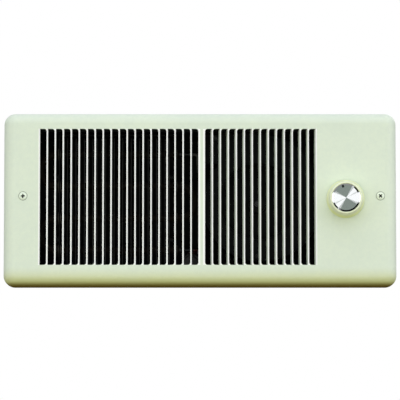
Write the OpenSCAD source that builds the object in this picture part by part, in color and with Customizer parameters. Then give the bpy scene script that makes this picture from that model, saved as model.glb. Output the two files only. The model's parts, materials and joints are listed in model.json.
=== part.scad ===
// Recessed bathroom wall fan heater: a louvred sheet cover over a steel wall box.
// Origin: the middle of the cover's rear rim, in the plane of the wall.
// +X right, +Y into the wall, +Z up. All sizes in millimetres.

/* [Cover] */
// Width of the cover
cover_w = 413; // [380:1:450]
// Height of the cover
cover_h = 183; // [181:1:200]
// How far the cover stands out from the wall
cover_d = 22; // [20:0.5:30]
// Thickness of the cover's sheet
cover_t = 1.2; // [0.8:0.1:1.6]
// Radius of the rolled edge
cover_roll = 12.5; // [8:0.5:13]
// Radius of the corners, seen from the front
cover_corner = 14; // [13.5:0.5:20]

/* [Grille] */
// Least width of plain sheet left of the outlet's louvres
outlet_side = 36; // [35.5:0.5:90]
// Least width of plain sheet right of the inlet's louvres
inlet_side = 83; // [82:0.5:120]
// Distance from one louvre to the next
slot_pitch = 8.4; // [7.6:0.1:8.5]
// Width of the bar left between two louvres
bar_w = 1.7; // [1.6:0.1:2.4]
// Height of the louvres
slot_h = 143.4; // [100:0.1:148]
// Height of the grille's middle above the cover's middle
grille_rise = 3; // [-4:0.1:3.2]
// Width of the plain post between outlet and inlet
post_w = 7; // [6:0.5:9]
// Radius of a louvre's two round corners
slot_round = 2.8; // [1:0.1:2.8]
// How far the outlet's louvres are bent in
outlet_bend = 92; // [88:1:93]
// How far the inlet's louvres are bent in
inlet_bend = 66; // [55:1:80]

/* [Cover screws] */
// Distance from the cover's side edges to each screw
screw_edge = 17; // [14.5:0.5:18.5]
// How much further in the left screw stands
left_screw_in = 3.5; // [0:0.1:4]
// Height of the screws above the cover's middle
screw_z = 3.8; // [-20:0.1:20]
// Diameter of a cover screw's head
screw_head_d = 9; // [8:0.1:10]
// Diameter of a cover screw's thread
screw_d = 4.2; // [3.5:0.1:4.8]

/* [Wall box] */
// How far the box's sides lie inside the cover's side edges
box_side = 28.5; // [25.5:0.5:28.5]
// Outer height of the box
box_h = 151; // [151:1:160]
// Depth of the box behind the wall's surface
box_d = 95; // [90:1:110]
// Thickness of the box's sheet
box_t = 1.2; // [0.8:0.1:1.6]
// How far the flange's sides lie inside the cover's side edges
flange_side = 6.5; // [5.5:0.5:7]
// Height of the flange, over all
flange_h = 176; // [172:1:178]
// Distance between the side fixing holes, front to back
side_pitch_y = 52; // [40:1:56]
// Distance between the side fixing holes, up and down
side_pitch_z = 100; // [80:1:110]
// Distance from the wall's surface to the middle of the side fixing holes
side_hole_y = 44; // [40:1:48]
// Diameter of a side fixing hole
side_hole_d = 5.2; // [4:0.1:6]

/* [Cable entry] */
// Bore of the cable bushing
cable_bore_d = 12.7; // [9:0.1:14]
// Side of the square entry plate
entry_plate = 40; // [38:1:42]
// Height of the cable entry above the middle
entry_z = 46; // [44:0.5:50]

/* [Blower] */
// Radius of the blower wheel
wheel_r = 52; // [48:0.5:52]
// Length of the blower wheel
wheel_len = 36; // [30:0.5:36]
// Number of blades
blades = 36; // [24:1:40]
// Thickness of a blade
blade_t = 0.8; // [0.6:0.1:1]
// Depth of the ring of blades
blade_depth = 10; // [8:0.5:12]
// Least gap between the wheel and the scroll
scroll_gap = 5; // [3:0.25:5]
// How much the scroll's radius grows each quarter turn
scroll_step = 5; // [4:0.25:5]
// Sheet of the blower housing
housing_t = 1.2; // [0.8:0.1:1.4]
// Gap between the wheel's ends and the housing
wheel_end_gap = 3.8; // [3.4:0.1:4.2]
// Gap between the blower housing and the control's case
stat_gap = 6.25; // [6:0.05:8]
// Radius of the inlet's throat
inlet_r = 39.5; // [35:0.5:39.5]
// Height of the duct's lower edge above the blower's axis
tongue_z = 42; // [40:0.5:44]

/* [Motor] */
// Diameter of the motor's shaft
shaft_d = 6; // [5:0.1:6.4]
// Thickness of the stack of laminations
stack_t = 16; // [12:0.5:16]
// Width of the stack
stack_w = 60; // [60:1:64]
// Diameter of the rotor
rotor_d = 28.2; // [26:0.1:29]
// Air gap between rotor and stack
air_gap = 0.4; // [0.35:0.01:0.6]
// Gap between the motor's screws and the back of the box
motor_gap = 1.8; // [1:0.1:3.8]
// Running clearance of the bearings
running_gap = 0.03; // [0.02:0.01:0.06]

/* [Heating element] */
// Diameter of the sheathed element
element_d = 8; // [6.5:0.1:8.5]
// Distance between two passes of the element
pass_pitch = 34; // [32:0.5:34]
// Gap between the element's left bends and the side of the box
element_side = 3.4; // [3:0.1:60]
// Distance from fin to fin
fin_pitch = 4.5; // [4:0.1:4.6]
// Thickness of a fin
fin_t = 0.6; // [0.3:0.1:1]
// Depth of a fin, front to back
fin_depth = 18; // [14:0.5:19]
// Distance from the wall's surface to the element's middle
element_y = 13; // [11:0.5:14]

/* [Control] */
// Distance from the cover's right edge to the knob's axis
knob_edge = 53.8; // [50.5:0.1:54.5]
// Height of the knob's axis above the cover's middle
knob_z = 0.5; // [-6:0.1:4]
// Diameter of the knob at its base
knob_base_d = 40; // [36:0.5:44]
// Diameter of the knob at its front
knob_front_d = 33; // [33:0.5:35]
// Length of the knob
knob_len = 17.6; // [15:0.1:22]
// Diameter of the metal disc in the knob's front
insert_d = 30; // [26:0.5:30]
// Where the pointer stands, counted from the top, positive clockwise
pointer_angle = -16; // [-150:1:150]
// Diameter of the control's shaft
stem_d = 6; // [5:0.1:6.4]
// Width of the thermostat's case
stat_w = 34; // [30:0.5:34]
// Height of the thermostat's case
stat_h = 44; // [40:0.5:46]
// Depth of the thermostat's case
stat_d = 24; // [20:0.5:28]

/* [Wiring] */
// Diameter of an insulated lead
lead_d = 2.6; // [2:0.1:3]
// Radius of a lead's bends, at its middle
lead_bend = 3.4; // [3:0.1:3.6]

/* [Hidden] */
$fn = 48;

// Clearances
seat = 0.2;        // a piece that lies loosely in or beside another
hole_gap = 0.25;   // round a screw or a pin in its hole
press_gap = 0.01;  // round a shaft that is pressed in
over = 1;          // how far a cutting shape runs past what it cuts

// Places across the heater, from the cover's edges inwards
screw_x = cover_w / 2 - screw_edge;
screws_x = [left_screw_in - screw_x, screw_x];
knob_x = cover_w / 2 - knob_edge;
box_w = cover_w - 2 * box_side;
flange_w = cover_w - 2 * flange_side;
in_x = box_w / 2 - box_t;
part_t = 1.2;
duct_gap = 0.65;
scroll_mid = scroll_step / 2;
scroll_r1 = wheel_r + scroll_gap + scroll_mid;
scroll_r2 = scroll_r1 + scroll_step;
scroll_r3 = scroll_r2 + scroll_step;
scroll_right = knob_x - stat_w / 2 - stat_gap;
blower_x = scroll_right - housing_t - scroll_r2 - scroll_mid;
part_x = blower_x - scroll_gap - wheel_r - housing_t - duct_gap - part_t;
post_x = part_x + part_t / 2;

// Cover and grille
face_y = -cover_d;
under_y = face_y + cover_t;
straight_x = cover_w / 2 - cover_corner;
straight_z = cover_h / 2 - cover_corner;
slot_w = slot_pitch - bar_w;
slot_foot = grille_rise - slot_h / 2;
outlet_right = post_x - post_w / 2;
inlet_left = post_x + post_w / 2;
outlet_slots = floor((cover_w / 2 + outlet_right - outlet_side + bar_w) / slot_pitch);
inlet_slots = floor((cover_w / 2 - inlet_left - inlet_side + bar_w) / slot_pitch);
tab_root = [0.15, 0.25];
tab_len = slot_w - 0.3;
dimple_wide = screw_head_d / 2 + 0.4;
dimple_narrow = screw_d / 2 + 0.4;
dimple_depth = dimple_wide - dimple_narrow;
knob_hole_r = stem_d / 2 + 4;

// Wall box
in_z = box_h / 2 - box_t;
back_y = box_d - box_t;
flange_round = 6;
ear_nut = 9;
ear_nut_t = 3.2;
knockout_r = 11.2;
knockout_groove = 0.8;
knockout_in = 56.8;
knockout_step = 60;
knockout_x = [-in_x + knockout_in, -in_x + knockout_in + knockout_step];

// Small machine screws: radius and height of the head, radius of the thread
small_head_r = 3.6;
small_head_h = 2.2;
small_thread_r = 1.75;
foot_len = 12;
foot_t = 1.2;
ground_head_h = 2.4;

// Partition
part_front = under_y + seat;
part_half_z = slot_h / 2;

// Motor's sizes along its shaft, and the blower, which the chassis holds off the box's back
motor_stand = 10.8;
bridge_rise = 6;
bridge_t = 2.4;
motor_head_h = 1.6;
chassis_t = 1.2;
stack_back = back_y - motor_gap - motor_head_h - bridge_t - bridge_rise;
stack_y = stack_back - stack_t;
chassis_back = stack_y - motor_stand;
chassis_y = chassis_back - chassis_t;
housing_back = chassis_y - housing_t;
wheel_back = housing_back - wheel_end_gap;
wheel_front = wheel_back - wheel_len;
plate_back = wheel_front - wheel_end_gap;
blower_y = plate_back - housing_t;
duct_top = scroll_mid + scroll_r3;
duct_end = part_x + part_t + seat;
hub_r = 9;
hub_len = 18;
hub_screw_in = 10;
shaft_in = 20;
mouth_r = 3;

// Motor
stack_top = 22;
stack_foot = -46;
limb = 12;
core_half = 21;
bridge_x = 24.5;
bridge_post_r = 5;
bearing_r = 5.5;
bearing_len = 6.4;
shaft_r = shaft_d / 2;
rotor_r = rotor_d / 2;
stack_bore_r = rotor_r + air_gap;
motor_thread_r = 2;
ring_x = 17.5;
ring_z = 12;
ring_w = 2.6;
window_top = -core_half;
window_foot = stack_foot + limb;
coil_over = 6.5;
coil_half = stack_w / 2 - limb - 0.6;
coil_top = window_top - 0.6;
coil_thick = coil_top - window_foot - 0.3;
coil_foot = stack_foot - 0.3 - coil_thick;

// Heating element
passes = 4;
pass_z = [for (i = [0 : passes - 1]) (i - (passes - 1) / 2) * pass_pitch];
tube_r = element_d / 2;
frame_t = 1.2;
bend_out = 3;
bend_r = pass_pitch / 2;
fin_end = 6.5;
frame_right = part_x - 2 - bend_r - tube_r - bend_out;
frame_left = -in_x + element_side + tube_r + bend_r + bend_out + frame_t;
fins = floor((frame_right - frame_t - frame_left - 2 * fin_end) / fin_pitch) + 1;
frame_half_z = pass_z[passes - 1] + 20;
frame_front = element_y - fin_depth / 2 - 2;
frame_back = element_y + fin_depth / 2 + 2;
eyelet_r = tube_r + 1.6;
pin_r = 1.6;
pin_end = part_x - 8.5;
leg_w = 14;

// Limit switch, on a small bracket beside the partition
limit_x = part_x - 11.2;
limit_z = pass_z[0] - 12;
limit_y = element_y + fin_depth / 2 + 12;
limit_r = 8;
limit_len = 10;
blade_x = 4;
blade_w = 4;
blade_len = 8;

// Control
shaft_end_y = face_y - 14;
stem_in = 12;
stat_front = face_y + 13.2;
stat_back = stat_front + stat_d;
stem_r = stem_d / 2;
bushing_r = 5;
control_t = 1.6;
stat_blade_x = 9;
stat_blade_z = 12;
knob_gap = 0.8;
knob_base = face_y - knob_gap;
knob_front = knob_base - knob_len;
knob_wall = 2.2;
insert_t = 1;

// Terminal block
block_w = 34;
block_h = 20;
block_d = 18;
block_top = -46;
block_y = back_y - block_d;
lead_r = lead_d / 2;

// Routes of the leads
lead_load_y = chassis_back + 6.8;
lead_far_y = chassis_back + 14.8;
lead_low_z = limit_z;
lead_high_z = 38;
lead_in_x = part_x - 3.7;
lead_row_y = block_y + 8;
lead_drop_z = block_top + 10;
stat_lead_y = stat_back + blade_len;
left_x = knob_x - stat_blade_x;
right_x = knob_x + stat_blade_x;
low_blade_z = knob_z - stat_blade_z;
high_blade_z = knob_z + stat_blade_z;
limit_lead_y = limit_y + limit_len + blade_len;
coil_side_x = blower_x + coil_half;
coil_lead_y = stack_y - 5;
coil_lead_z = coil_top - 14;

// ---- Frames and shared shapes ----

// Local X right, local Y up and local Z into the wall, from depth y on
module wall_frame(y = 0) {
    translate([0, y, 0]) mirror([0, 0, 1]) rotate([-90, 0, 0]) children();
}

// A flat outline, drawn as X and Z, from depth y0 to depth y1
module along_y(y0, y1) {
    wall_frame(y0) linear_extrude(height = y1 - y0) children();
}

// A flat outline, drawn as Y and Z, from x0 to x1
module along_x(x0, x1) {
    translate([x0, 0, 0]) rotate([90, 0, 90]) linear_extrude(height = x1 - x0) children();
}

module rod_y(r, y0, y1) {
    wall_frame(y0) cylinder(r = r, h = y1 - y0);
}

// A box between two corners
module block(low, high) {
    translate(low) cube(high - low);
}

module rounded_rect(w, h, r) {
    square([w - 2 * r, h], center = true);
    square([w, h - 2 * r], center = true);
    for (x = [-1, 1], y = [-1, 1]) translate([x * (w / 2 - r), y * (h / 2 - r)]) circle(r);
}

// Cross-shaped driver recess, cut from the head's top down
module cross_recess(reach, depth, turn = 0) {
    rotate(turn) {
        translate([-reach, -reach / 5, -over]) cube([2 * reach, reach * 0.4, depth + over]);
        translate([-reach / 5, -reach, -over]) cube([reach * 0.4, 2 * reach, depth + over]);
    }
}

// Pan-headed screw: its seat is at z = 0, the head below it and the thread along +Z
module pan_screw(len, head_r = small_head_r, head_h = small_head_h, thread_r = small_thread_r) {
    difference() {
        rotate_extrude() polygon([
            [0, -head_h], [head_r * 0.6, -head_h], [head_r * 0.92, -head_h * 0.72],
            [head_r, -head_h * 0.3], [head_r, 0], [thread_r, 0], [thread_r, len], [0, len]
        ]);
        translate([0, 0, -head_h]) cross_recess(head_r * 0.6, head_h * 0.55);
    }
}

// The way a lead turns at one of its points
function turn_at(p, i) = acos(max(-1, min(1, way(p, i - 1) * way(p, i))));
function way(p, i) = (p[i + 1] - p[i]) / norm(p[i + 1] - p[i]);
function side_of(d) = abs(d.x) < 0.9 ? cross(d, [1, 0, 0]) / norm(cross(d, [1, 0, 0]))
    : cross(d, [0, 1, 0]) / norm(cross(d, [0, 1, 0]));
function setback(p, i) = i == 0 || i == len(p) - 1 ? 0 : lead_bend * tan(turn_at(p, i) / 2);

module facing(x, y, z, at) {
    multmatrix([
        [x.x, y.x, z.x, at.x],
        [x.y, y.y, z.y, at.y],
        [x.z, y.z, z.z, at.z],
        [0, 0, 0, 1]
    ]) children();
}

// An insulated lead along its points, with a round bend at each
module lead(p) {
    for (i = [0 : len(p) - 2]) {
        d = way(p, i);
        u = side_of(d);
        facing(u, cross(d, u), d, p[i] + d * setback(p, i))
            cylinder(r = lead_r, h = norm(p[i + 1] - p[i]) - setback(p, i) - setback(p, i + 1));
    }
    for (i = [1 : len(p) - 2]) {
        a = way(p, i - 1);
        b = way(p, i);
        turn = turn_at(p, i);
        m = (b - a * (a * b)) / sin(turn);
        facing(-m, a, cross(a, m), p[i] - a * setback(p, i) + m * lead_bend)
            rotate_extrude(angle = turn) translate([lead_bend, 0]) circle(r = lead_r);
    }
}

// ---- Cover ----

// Section of the rolled edge: outwards, then depth from the face
module edge_section() {
    inner = cover_corner - cover_roll;
    square([inner, cover_t]);
    translate([inner, cover_roll]) intersection() {
        difference() {
            circle(r = cover_roll);
            circle(r = cover_roll - cover_t);
        }
        translate([0, -cover_roll]) square(cover_roll);
    }
    translate([cover_corner - cover_t, cover_roll]) square([cover_t, cover_d - cover_roll]);
}

module cover_shell() {
    wall_frame(face_y) {
        linear_extrude(height = cover_t) square([2 * straight_x, 2 * straight_z], center = true);
        for (half = [0, 180]) rotate(half) {
            translate([-straight_x, straight_z, 0]) rotate([90, 0, 90])
                linear_extrude(height = 2 * straight_x) edge_section();
            translate([straight_x, straight_z, 0]) rotate([90, 0, 0])
                linear_extrude(height = 2 * straight_z) edge_section();
            translate([straight_x, straight_z, 0]) rotate_extrude(angle = 90) edge_section();
            translate([-straight_x, straight_z, 0]) rotate(90) rotate_extrude(angle = 90)
                edge_section();
        }
    }
}

// One louvre's outline from its hinge edge outwards, with the two far corners round
module louvre(len) {
    square([len - slot_round, slot_h]);
    translate([0, slot_round]) square([len, slot_h - 2 * slot_round]);
    for (z = [slot_round, slot_h - slot_round]) translate([len - slot_round, z])
        circle(r = slot_round);
}

// The tab of one louvre, still flat: it is hinged at x = 0 and reaches along +X
module louvre_tab(bend) {
    translate([-tab_root.x, face_y + tab_root.y, slot_foot]) rotate(bend)
        along_y(0, cover_t) louvre(tab_len);
}

outlet_hinges = [for (i = [0 : outlet_slots - 1]) outlet_right - slot_w - i * slot_pitch];
inlet_hinges = [for (i = [0 : inlet_slots - 1]) inlet_left + slot_w + i * slot_pitch];

module screw_dimple() {
    cylinder(r = dimple_wide + cover_t, h = cover_t);
    translate([0, 0, cover_t]) cylinder(
        r1 = dimple_wide + cover_t * 0.4, r2 = dimple_narrow + cover_t * 0.6,
        h = dimple_depth
    );
}

module front_cover() {
    color("#deebd8") difference() {
        union() {
            difference() {
                cover_shell();
                along_y(face_y - over, under_y + 0.5) {
                    for (x = outlet_hinges) translate([x, slot_foot]) louvre(slot_w);
                    for (x = inlet_hinges) translate([x, slot_foot]) mirror([1, 0])
                        louvre(slot_w);
                }
            }
            for (x = outlet_hinges) translate([x, 0, 0]) louvre_tab(outlet_bend);
            for (x = inlet_hinges) translate([x, 0, 0]) mirror([1, 0, 0])
                louvre_tab(inlet_bend);
            for (x = screws_x) translate([x, 0, screw_z]) wall_frame(face_y)
                screw_dimple();
        }
        for (x = screws_x) translate([x, 0, screw_z]) wall_frame(face_y) {
            cylinder(r1 = dimple_wide, r2 = dimple_narrow, h = dimple_depth);
            cylinder(r = dimple_narrow, h = cover_d);
        }
        translate([knob_x, 0, knob_z]) rod_y(knob_hole_r, face_y - over, under_y + over);
    }
}

// Oval-headed screw in the dimple, down to the nut on the flange
module cover_screw(turn) {
    tip = cover_d - seat;
    crown = 1.3;
    head_r = screw_head_d / 2;
    thread_r = screw_d / 2;
    difference() {
        rotate_extrude() polygon([
            [0, -crown], [head_r * 0.35, -crown * 0.9], [head_r * 0.72, -crown * 0.5],
            [head_r, 0.1], [thread_r, 0.1 + head_r - thread_r], [thread_r, tip], [0, tip]
        ]);
        translate([0, 0, -crown]) cross_recess(head_r * 0.56, 1.9, turn);
    }
}

module cover_screws() {
    color("#d5dcc6") for (x = screws_x) translate([x, 0, screw_z])
        wall_frame(face_y) cover_screw(x < 0 ? 0 : 45);
}

// ---- Wall box ----

module ear_nuts() {
    color("#9a9c9e") for (x = screws_x) translate([x, 0, screw_z])
        along_y(-box_t - ear_nut_t, -box_t) difference() {
            square(ear_nut, center = true);
            circle(r = screw_d / 2 + 0.1);
        }
}

entry_x = knob_x + 1;
entry_window = entry_plate - 12;
entry_hole_in = 3;

// Where each screw goes into the back of the box: X and Z
leg_z = pass_pitch;
partition_feet = [[part_x + part_t + foot_len / 2, -40], [part_x + part_t + foot_len / 2, 30]];
frame_feet = [
    for (x = [frame_left, frame_right], z = [-leg_z, leg_z]) [x - foot_len / 2, z]
];
chassis_foot_x = 44;
chassis_foot_half = 9;
chassis_feet = [
    for (x = [blower_x - chassis_foot_x, blower_x + chassis_foot_x], z = [-1, 1])
        [x, z * (in_z - 2.4 - foot_t - foot_len / 2)]
];
entry_holes = [for (x = [-1, 1]) [entry_x + x * (entry_plate / 2 - entry_hole_in), entry_z]];
ground_at = [knob_x, -10];

module back_holes(r) {
    for (p = concat(partition_feet, frame_feet, chassis_feet, entry_holes, [ground_at]))
        translate(p) circle(r = r);
}

module side_holes() {
    for (y = [-1, 1], z = [-1, 1])
        translate([side_hole_y + y * side_pitch_y / 2, z * side_pitch_z / 2])
            circle(d = side_hole_d);
}

module back_box() {
    color("#b9bcbd") difference() {
        union() {
            block([-box_w / 2, -box_t, -box_h / 2], [box_w / 2, box_d, box_h / 2]);
            along_y(-box_t, 0) rounded_rect(flange_w, flange_h, flange_round);
        }
        block([-in_x, -box_t - over, -in_z], [in_x, back_y, in_z]);
        along_y(back_y - over, box_d + over) back_holes(small_thread_r + hole_gap);
        along_y(back_y - over, box_d + over) translate([entry_x, entry_z])
            square(entry_window, center = true);
        along_x(-box_w / 2 - over, -in_x + over) side_holes();
        along_x(in_x - over, box_w / 2 + over) side_holes();
        along_x(in_x - over, box_w / 2 + over) bracket_holes(small_thread_r + hole_gap);
        along_y(-box_t - over, over) for (x = screws_x) translate([x, screw_z])
            circle(r = screw_d / 2 + 0.4);
        along_y(box_d - box_t * 0.4, box_d + over) for (x = knockout_x) translate([x, 0])
            difference() {
                circle(r = knockout_r);
                circle(r = knockout_r - knockout_groove);
            }
    }
}

module entry_plate() {
    color("#c4c7c8") along_y(back_y - foot_t, back_y) translate([entry_x, entry_z])
        difference() {
            rounded_rect(entry_plate, entry_plate, 3);
            circle(r = cable_bore_d / 2 + 1.65 + 0.1);
            for (x = [-1, 1]) translate([x * (entry_plate / 2 - entry_hole_in), 0])
                circle(r = small_thread_r + hole_gap);
        }
}

module entry_screws() {
    color("#d9dadb") for (p = entry_holes) translate([p.x, 0, p.y])
        wall_frame(back_y - foot_t) pan_screw(foot_t + box_t, 2.8, 1.8);
}

module cable_bushing() {
    bore_r = cable_bore_d / 2;
    color("#26282a") translate([entry_x, 0, entry_z]) wall_frame(back_y - foot_t)
        rotate_extrude() polygon([
            [bore_r, -2.6], [bore_r + 0.6, -3.2], [bore_r + 3.6, -3.2], [bore_r + 4.4, -2.4],
            [bore_r + 4.4, 0], [bore_r + 1.65, 0], [bore_r + 1.65, foot_t + box_t],
            [bore_r, foot_t + box_t]
        ]);
}

// ---- Partition between outlet and inlet ----

part_lead_holes = [[lead_load_y, lead_low_z], [lead_far_y, lead_high_z]];

module partition() {
    front_leaf = 2.4;
    color("#aeb1b2") difference() {
        union() {
            block([part_x, part_front, -part_half_z], [part_x + part_t, 0, part_half_z]);
            block([part_x, 0, -in_z + seat], [part_x + part_t, back_y, in_z - seat]);
            block([part_x - front_leaf, part_front, -part_half_z],
                [part_x + part_t, part_front + part_t, part_half_z]);
            for (p = partition_feet)
                block([part_x, back_y - foot_t, p.y - 6],
                    [part_x + part_t + foot_len, back_y, p.y + 6]);
        }
        along_x(part_x - over, part_x + part_t + over) {
            translate([plate_back, tongue_z])
                square([housing_back - plate_back, duct_top - tongue_z]);
            for (p = part_lead_holes) translate(p) circle(r = lead_r + 1);
        }
        along_y(back_y - foot_t - over, back_y + over) for (p = partition_feet) translate(p)
            circle(r = small_thread_r + hole_gap);
    }
}

module partition_screws() {
    color("#d9dadb") for (p = partition_feet) translate([p.x, 0, p.y])
        wall_frame(back_y - foot_t) pan_screw(foot_t + box_t);
}

// ---- Heating element ----

module end_plate_outline() {
    difference() {
        union() {
            translate([frame_front, -frame_half_z])
                square([frame_back - frame_front, 2 * frame_half_z]);
            for (z = [-leg_z, leg_z]) translate([frame_front, z - leg_w / 2])
                square([back_y - frame_front, leg_w]);
        }
        for (z = pass_z) translate([element_y, z]) circle(r = eyelet_r);
    }
}

module element_frame() {
    color("#a3a6a7") difference() {
        union() {
            for (x = [frame_left, frame_right]) along_x(x - frame_t, x) end_plate_outline();
            for (z = [-frame_half_z, frame_half_z - frame_t])
                block([frame_left - frame_t, frame_front, z],
                    [frame_right, frame_back, z + frame_t]);
            for (p = frame_feet)
                block([p.x - foot_len / 2, back_y - foot_t, p.y - leg_w / 2],
                    [p.x + foot_len / 2, back_y, p.y + leg_w / 2]);
        }
        along_y(back_y - foot_t - over, back_y + over) for (p = frame_feet) translate(p)
            circle(r = small_thread_r + hole_gap);
    }
}

module frame_screws() {
    color("#d9dadb") for (p = frame_feet) translate([p.x, 0, p.y])
        wall_frame(back_y - foot_t) pan_screw(foot_t + box_t);
}

// The sheathed tube runs to and fro across the outlet, with a round bend at each end
module heating_element() {
    run = frame_right - frame_left + frame_t + 2 * bend_out;
    color("#6d6660") translate([frame_left - frame_t - bend_out, element_y, 0]) {
        for (z = pass_z) translate([0, 0, z]) rotate([0, 90, 0]) cylinder(r = tube_r, h = run);
        for (i = [0 : 2 : passes - 2]) translate([0, 0, pass_z[i] + bend_r])
            rotate([90, 90, 0]) rotate_extrude(angle = -180) translate([bend_r, 0])
                circle(r = tube_r);
        for (i = [1 : 2 : passes - 2]) translate([run, 0, pass_z[i] + bend_r])
            rotate([90, 90, 0]) rotate_extrude(angle = 180) translate([bend_r, 0])
                circle(r = tube_r);
    }
}

module element_fins() {
    first = frame_right - frame_t - fin_end;
    color("#8d8f90") for (i = [0 : fins - 1])
        along_x(first - i * fin_pitch - fin_t / 2, first - i * fin_pitch + fin_t / 2)
            difference() {
                translate([element_y, 0])
                    square([fin_depth, 2 * frame_half_z - 2 * frame_t - 4], center = true);
                for (z = pass_z) translate([element_y, z]) circle(r = tube_r + 0.05);
            }
}

// Flanged eyelets that carry the tube where it passes the end plates
module element_eyelets() {
    color("#e8e2d4") for (x = [frame_left, frame_right], z = pass_z)
        translate([x - frame_t, element_y, z]) rotate([0, 90, 0]) rotate_extrude() polygon([
            [tube_r + 0.1, -1], [eyelet_r + 1, -1], [eyelet_r + 1, 0], [eyelet_r - 0.1, 0],
            [eyelet_r - 0.1, frame_t + 0.8], [tube_r + 0.1, frame_t + 0.8]
        ]);
}

// The cold pins at the two ends of the tube
module element_pins() {
    color("#c9c2b2") for (z = [pass_z[0], pass_z[passes - 1]])
        translate([frame_right + bend_out, element_y, z]) rotate([0, 90, 0]) {
            cylinder(r = tube_r - 0.8, h = 4);
            cylinder(r = pin_r, h = pin_end - frame_right - bend_out);
        }
}

// ---- Limit switch ----

module limit_bracket() {
    leaf = 1.2;
    half = limit_r + 2;
    color("#b4b7b8") difference() {
        union() {
            block([limit_x - half, limit_y, limit_z - half], [part_x, limit_y + leaf, limit_z + 9]);
            block([part_x - leaf, limit_y, limit_z - half], [part_x, limit_y + 14, limit_z + 9]);
        }
        translate([limit_x, 0, limit_z]) rod_y(limit_r + 0.1, limit_y - over, limit_y + 2);
    }
}

module limit_switch() {
    color("#2e2a28") translate([limit_x, 0, limit_z]) wall_frame(limit_y) rotate_extrude()
        polygon([
            [0, -4], [limit_r - 1, -4], [limit_r, -3], [limit_r, -1.6], [limit_r + 1.4, -1.6],
            [limit_r + 1.4, 0], [limit_r, 0], [limit_r, limit_len], [0, limit_len]
        ]);
}

module limit_blades() {
    color("#c9a24a") for (x = [-blade_x, blade_x])
        block([limit_x + x - 0.4, limit_y + limit_len, limit_z - blade_w / 2],
            [limit_x + x + 0.4, limit_y + limit_len + blade_len, limit_z + blade_w / 2]);
}

// ---- Blower ----

// Outline of the scroll: four quarter discs whose radius grows, and the duct to the left
module scroll(grow, end = 0) {
    c = scroll_mid;
    translate([c, -c]) intersection() {
        circle(r = scroll_r1 + grow);
        translate([-2 * scroll_r1, -2 * scroll_r1]) square([2 * scroll_r1, 4 * scroll_r1]);
    }
    translate([c, c]) intersection() {
        circle(r = scroll_r2 + grow);
        translate([0, -2 * scroll_r2]) square(2 * scroll_r2);
    }
    translate([-c, c]) intersection() {
        circle(r = scroll_r3 + grow);
        square(2 * scroll_r3);
    }
    translate([duct_end - blower_x - end, tongue_z - grow])
        square([blower_x - duct_end + end - c, duct_top - tongue_z + 2 * grow]);
}

module at_blower() {
    translate([blower_x, 0, 0]) children();
}

module blower_housing() {
    color("#b3b6b7") at_blower() difference() {
        along_y(plate_back, chassis_y) scroll(housing_t);
        along_y(plate_back - over, housing_back) scroll(0, over);
        rod_y(bearing_r + 4, housing_back - over, chassis_y + over);
        for (x = [-bridge_x, bridge_x]) translate([x, 0, 0])
            rod_y(motor_thread_r + hole_gap, housing_back - over, chassis_y + over);
    }
}

inlet_fixings = [
    [scroll_mid + scroll_r2 - 4, 0], [0, -scroll_mid - scroll_r1 + 4], [-45, duct_top - 4]
];

// Plate over the front of the scroll, drawn into a bell mouth at the inlet
module inlet_plate() {
    color("#9da0a1") at_blower() {
        difference() {
            along_y(blower_y, plate_back) scroll(housing_t);
            rod_y(inlet_r + mouth_r, blower_y - over, plate_back + over);
            for (p = inlet_fixings) translate([p.x, 0, p.y])
                rod_y(small_thread_r + hole_gap, blower_y - over, plate_back + over);
        }
        wall_frame(blower_y) rotate_extrude() translate([inlet_r + mouth_r, mouth_r])
            intersection() {
                difference() {
                    circle(r = mouth_r);
                    circle(r = mouth_r - housing_t);
                }
                translate([-mouth_r, -mouth_r]) square(mouth_r);
            }
    }
}

// Screws of the inlet plate, each with a stub post down to the housing's back
module inlet_screws() {
    color("#d9dadb") at_blower() for (p = inlet_fixings) translate([p.x, 0, p.y])
        wall_frame(blower_y) pan_screw(housing_back - blower_y, 3, 1.8);
}

module blade_outline() {
    inner = wheel_r - blade_depth;
    bow = blade_depth * 0.86;
    at_r = wheel_r - blade_depth / 2;
    intersection() {
        difference() {
            circle(r = wheel_r - 0.5);
            circle(r = inner);
        }
        translate([at_r, 0]) difference() {
            circle(r = bow);
            circle(r = bow - blade_t);
        }
        translate([inner - blade_depth, 0]) square([3 * blade_depth, 2 * blade_depth]);
    }
}

module blower_wheel() {
    disc_t = 1.2;
    ring_len = 2;
    color("#3f4244") at_blower() difference() {
        union() {
            along_y(wheel_front + ring_len, wheel_back - disc_t) for (i = [0 : blades - 1])
                rotate(i * 360 / blades) blade_outline();
            along_y(wheel_front, wheel_front + ring_len) difference() {
                circle(r = wheel_r);
                circle(r = wheel_r - blade_depth + 2);
            }
            rod_y(wheel_r, wheel_back - disc_t, wheel_back);
            rod_y(hub_r, wheel_back - hub_len, wheel_back);
        }
        rod_y(shaft_r + press_gap, wheel_front, wheel_back + over);
        translate([0, wheel_back - hub_screw_in, 0]) cylinder(r = 2, h = 2 * hub_r);
    }
}

module wheel_set_screw() {
    color("#8a8c8e") translate([blower_x, wheel_back - hub_screw_in, shaft_r + 0.05]) difference() {
        cylinder(r = 2 - 0.05, h = hub_r - shaft_r - 0.4);
        translate([0, 0, 3]) cylinder(r = 0.9, h = hub_r);
    }
}

// ---- Motor ----

shaft_front = wheel_back - shaft_in;
shaft_back = stack_back + bridge_rise + bridge_t + 1;

module motor_shaft() {
    color("#c8cacc") at_blower() rod_y(shaft_r, shaft_front, shaft_back);
}

module motor_rotor() {
    color("#77797b") at_blower() difference() {
        union() {
            rod_y(rotor_r, stack_y, stack_back);
            rod_y(rotor_r - 2.5, stack_y - 2, stack_back + 2);
        }
        rod_y(shaft_r + press_gap, stack_y - 2 - over, stack_back + 2 + over);
    }
}

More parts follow.
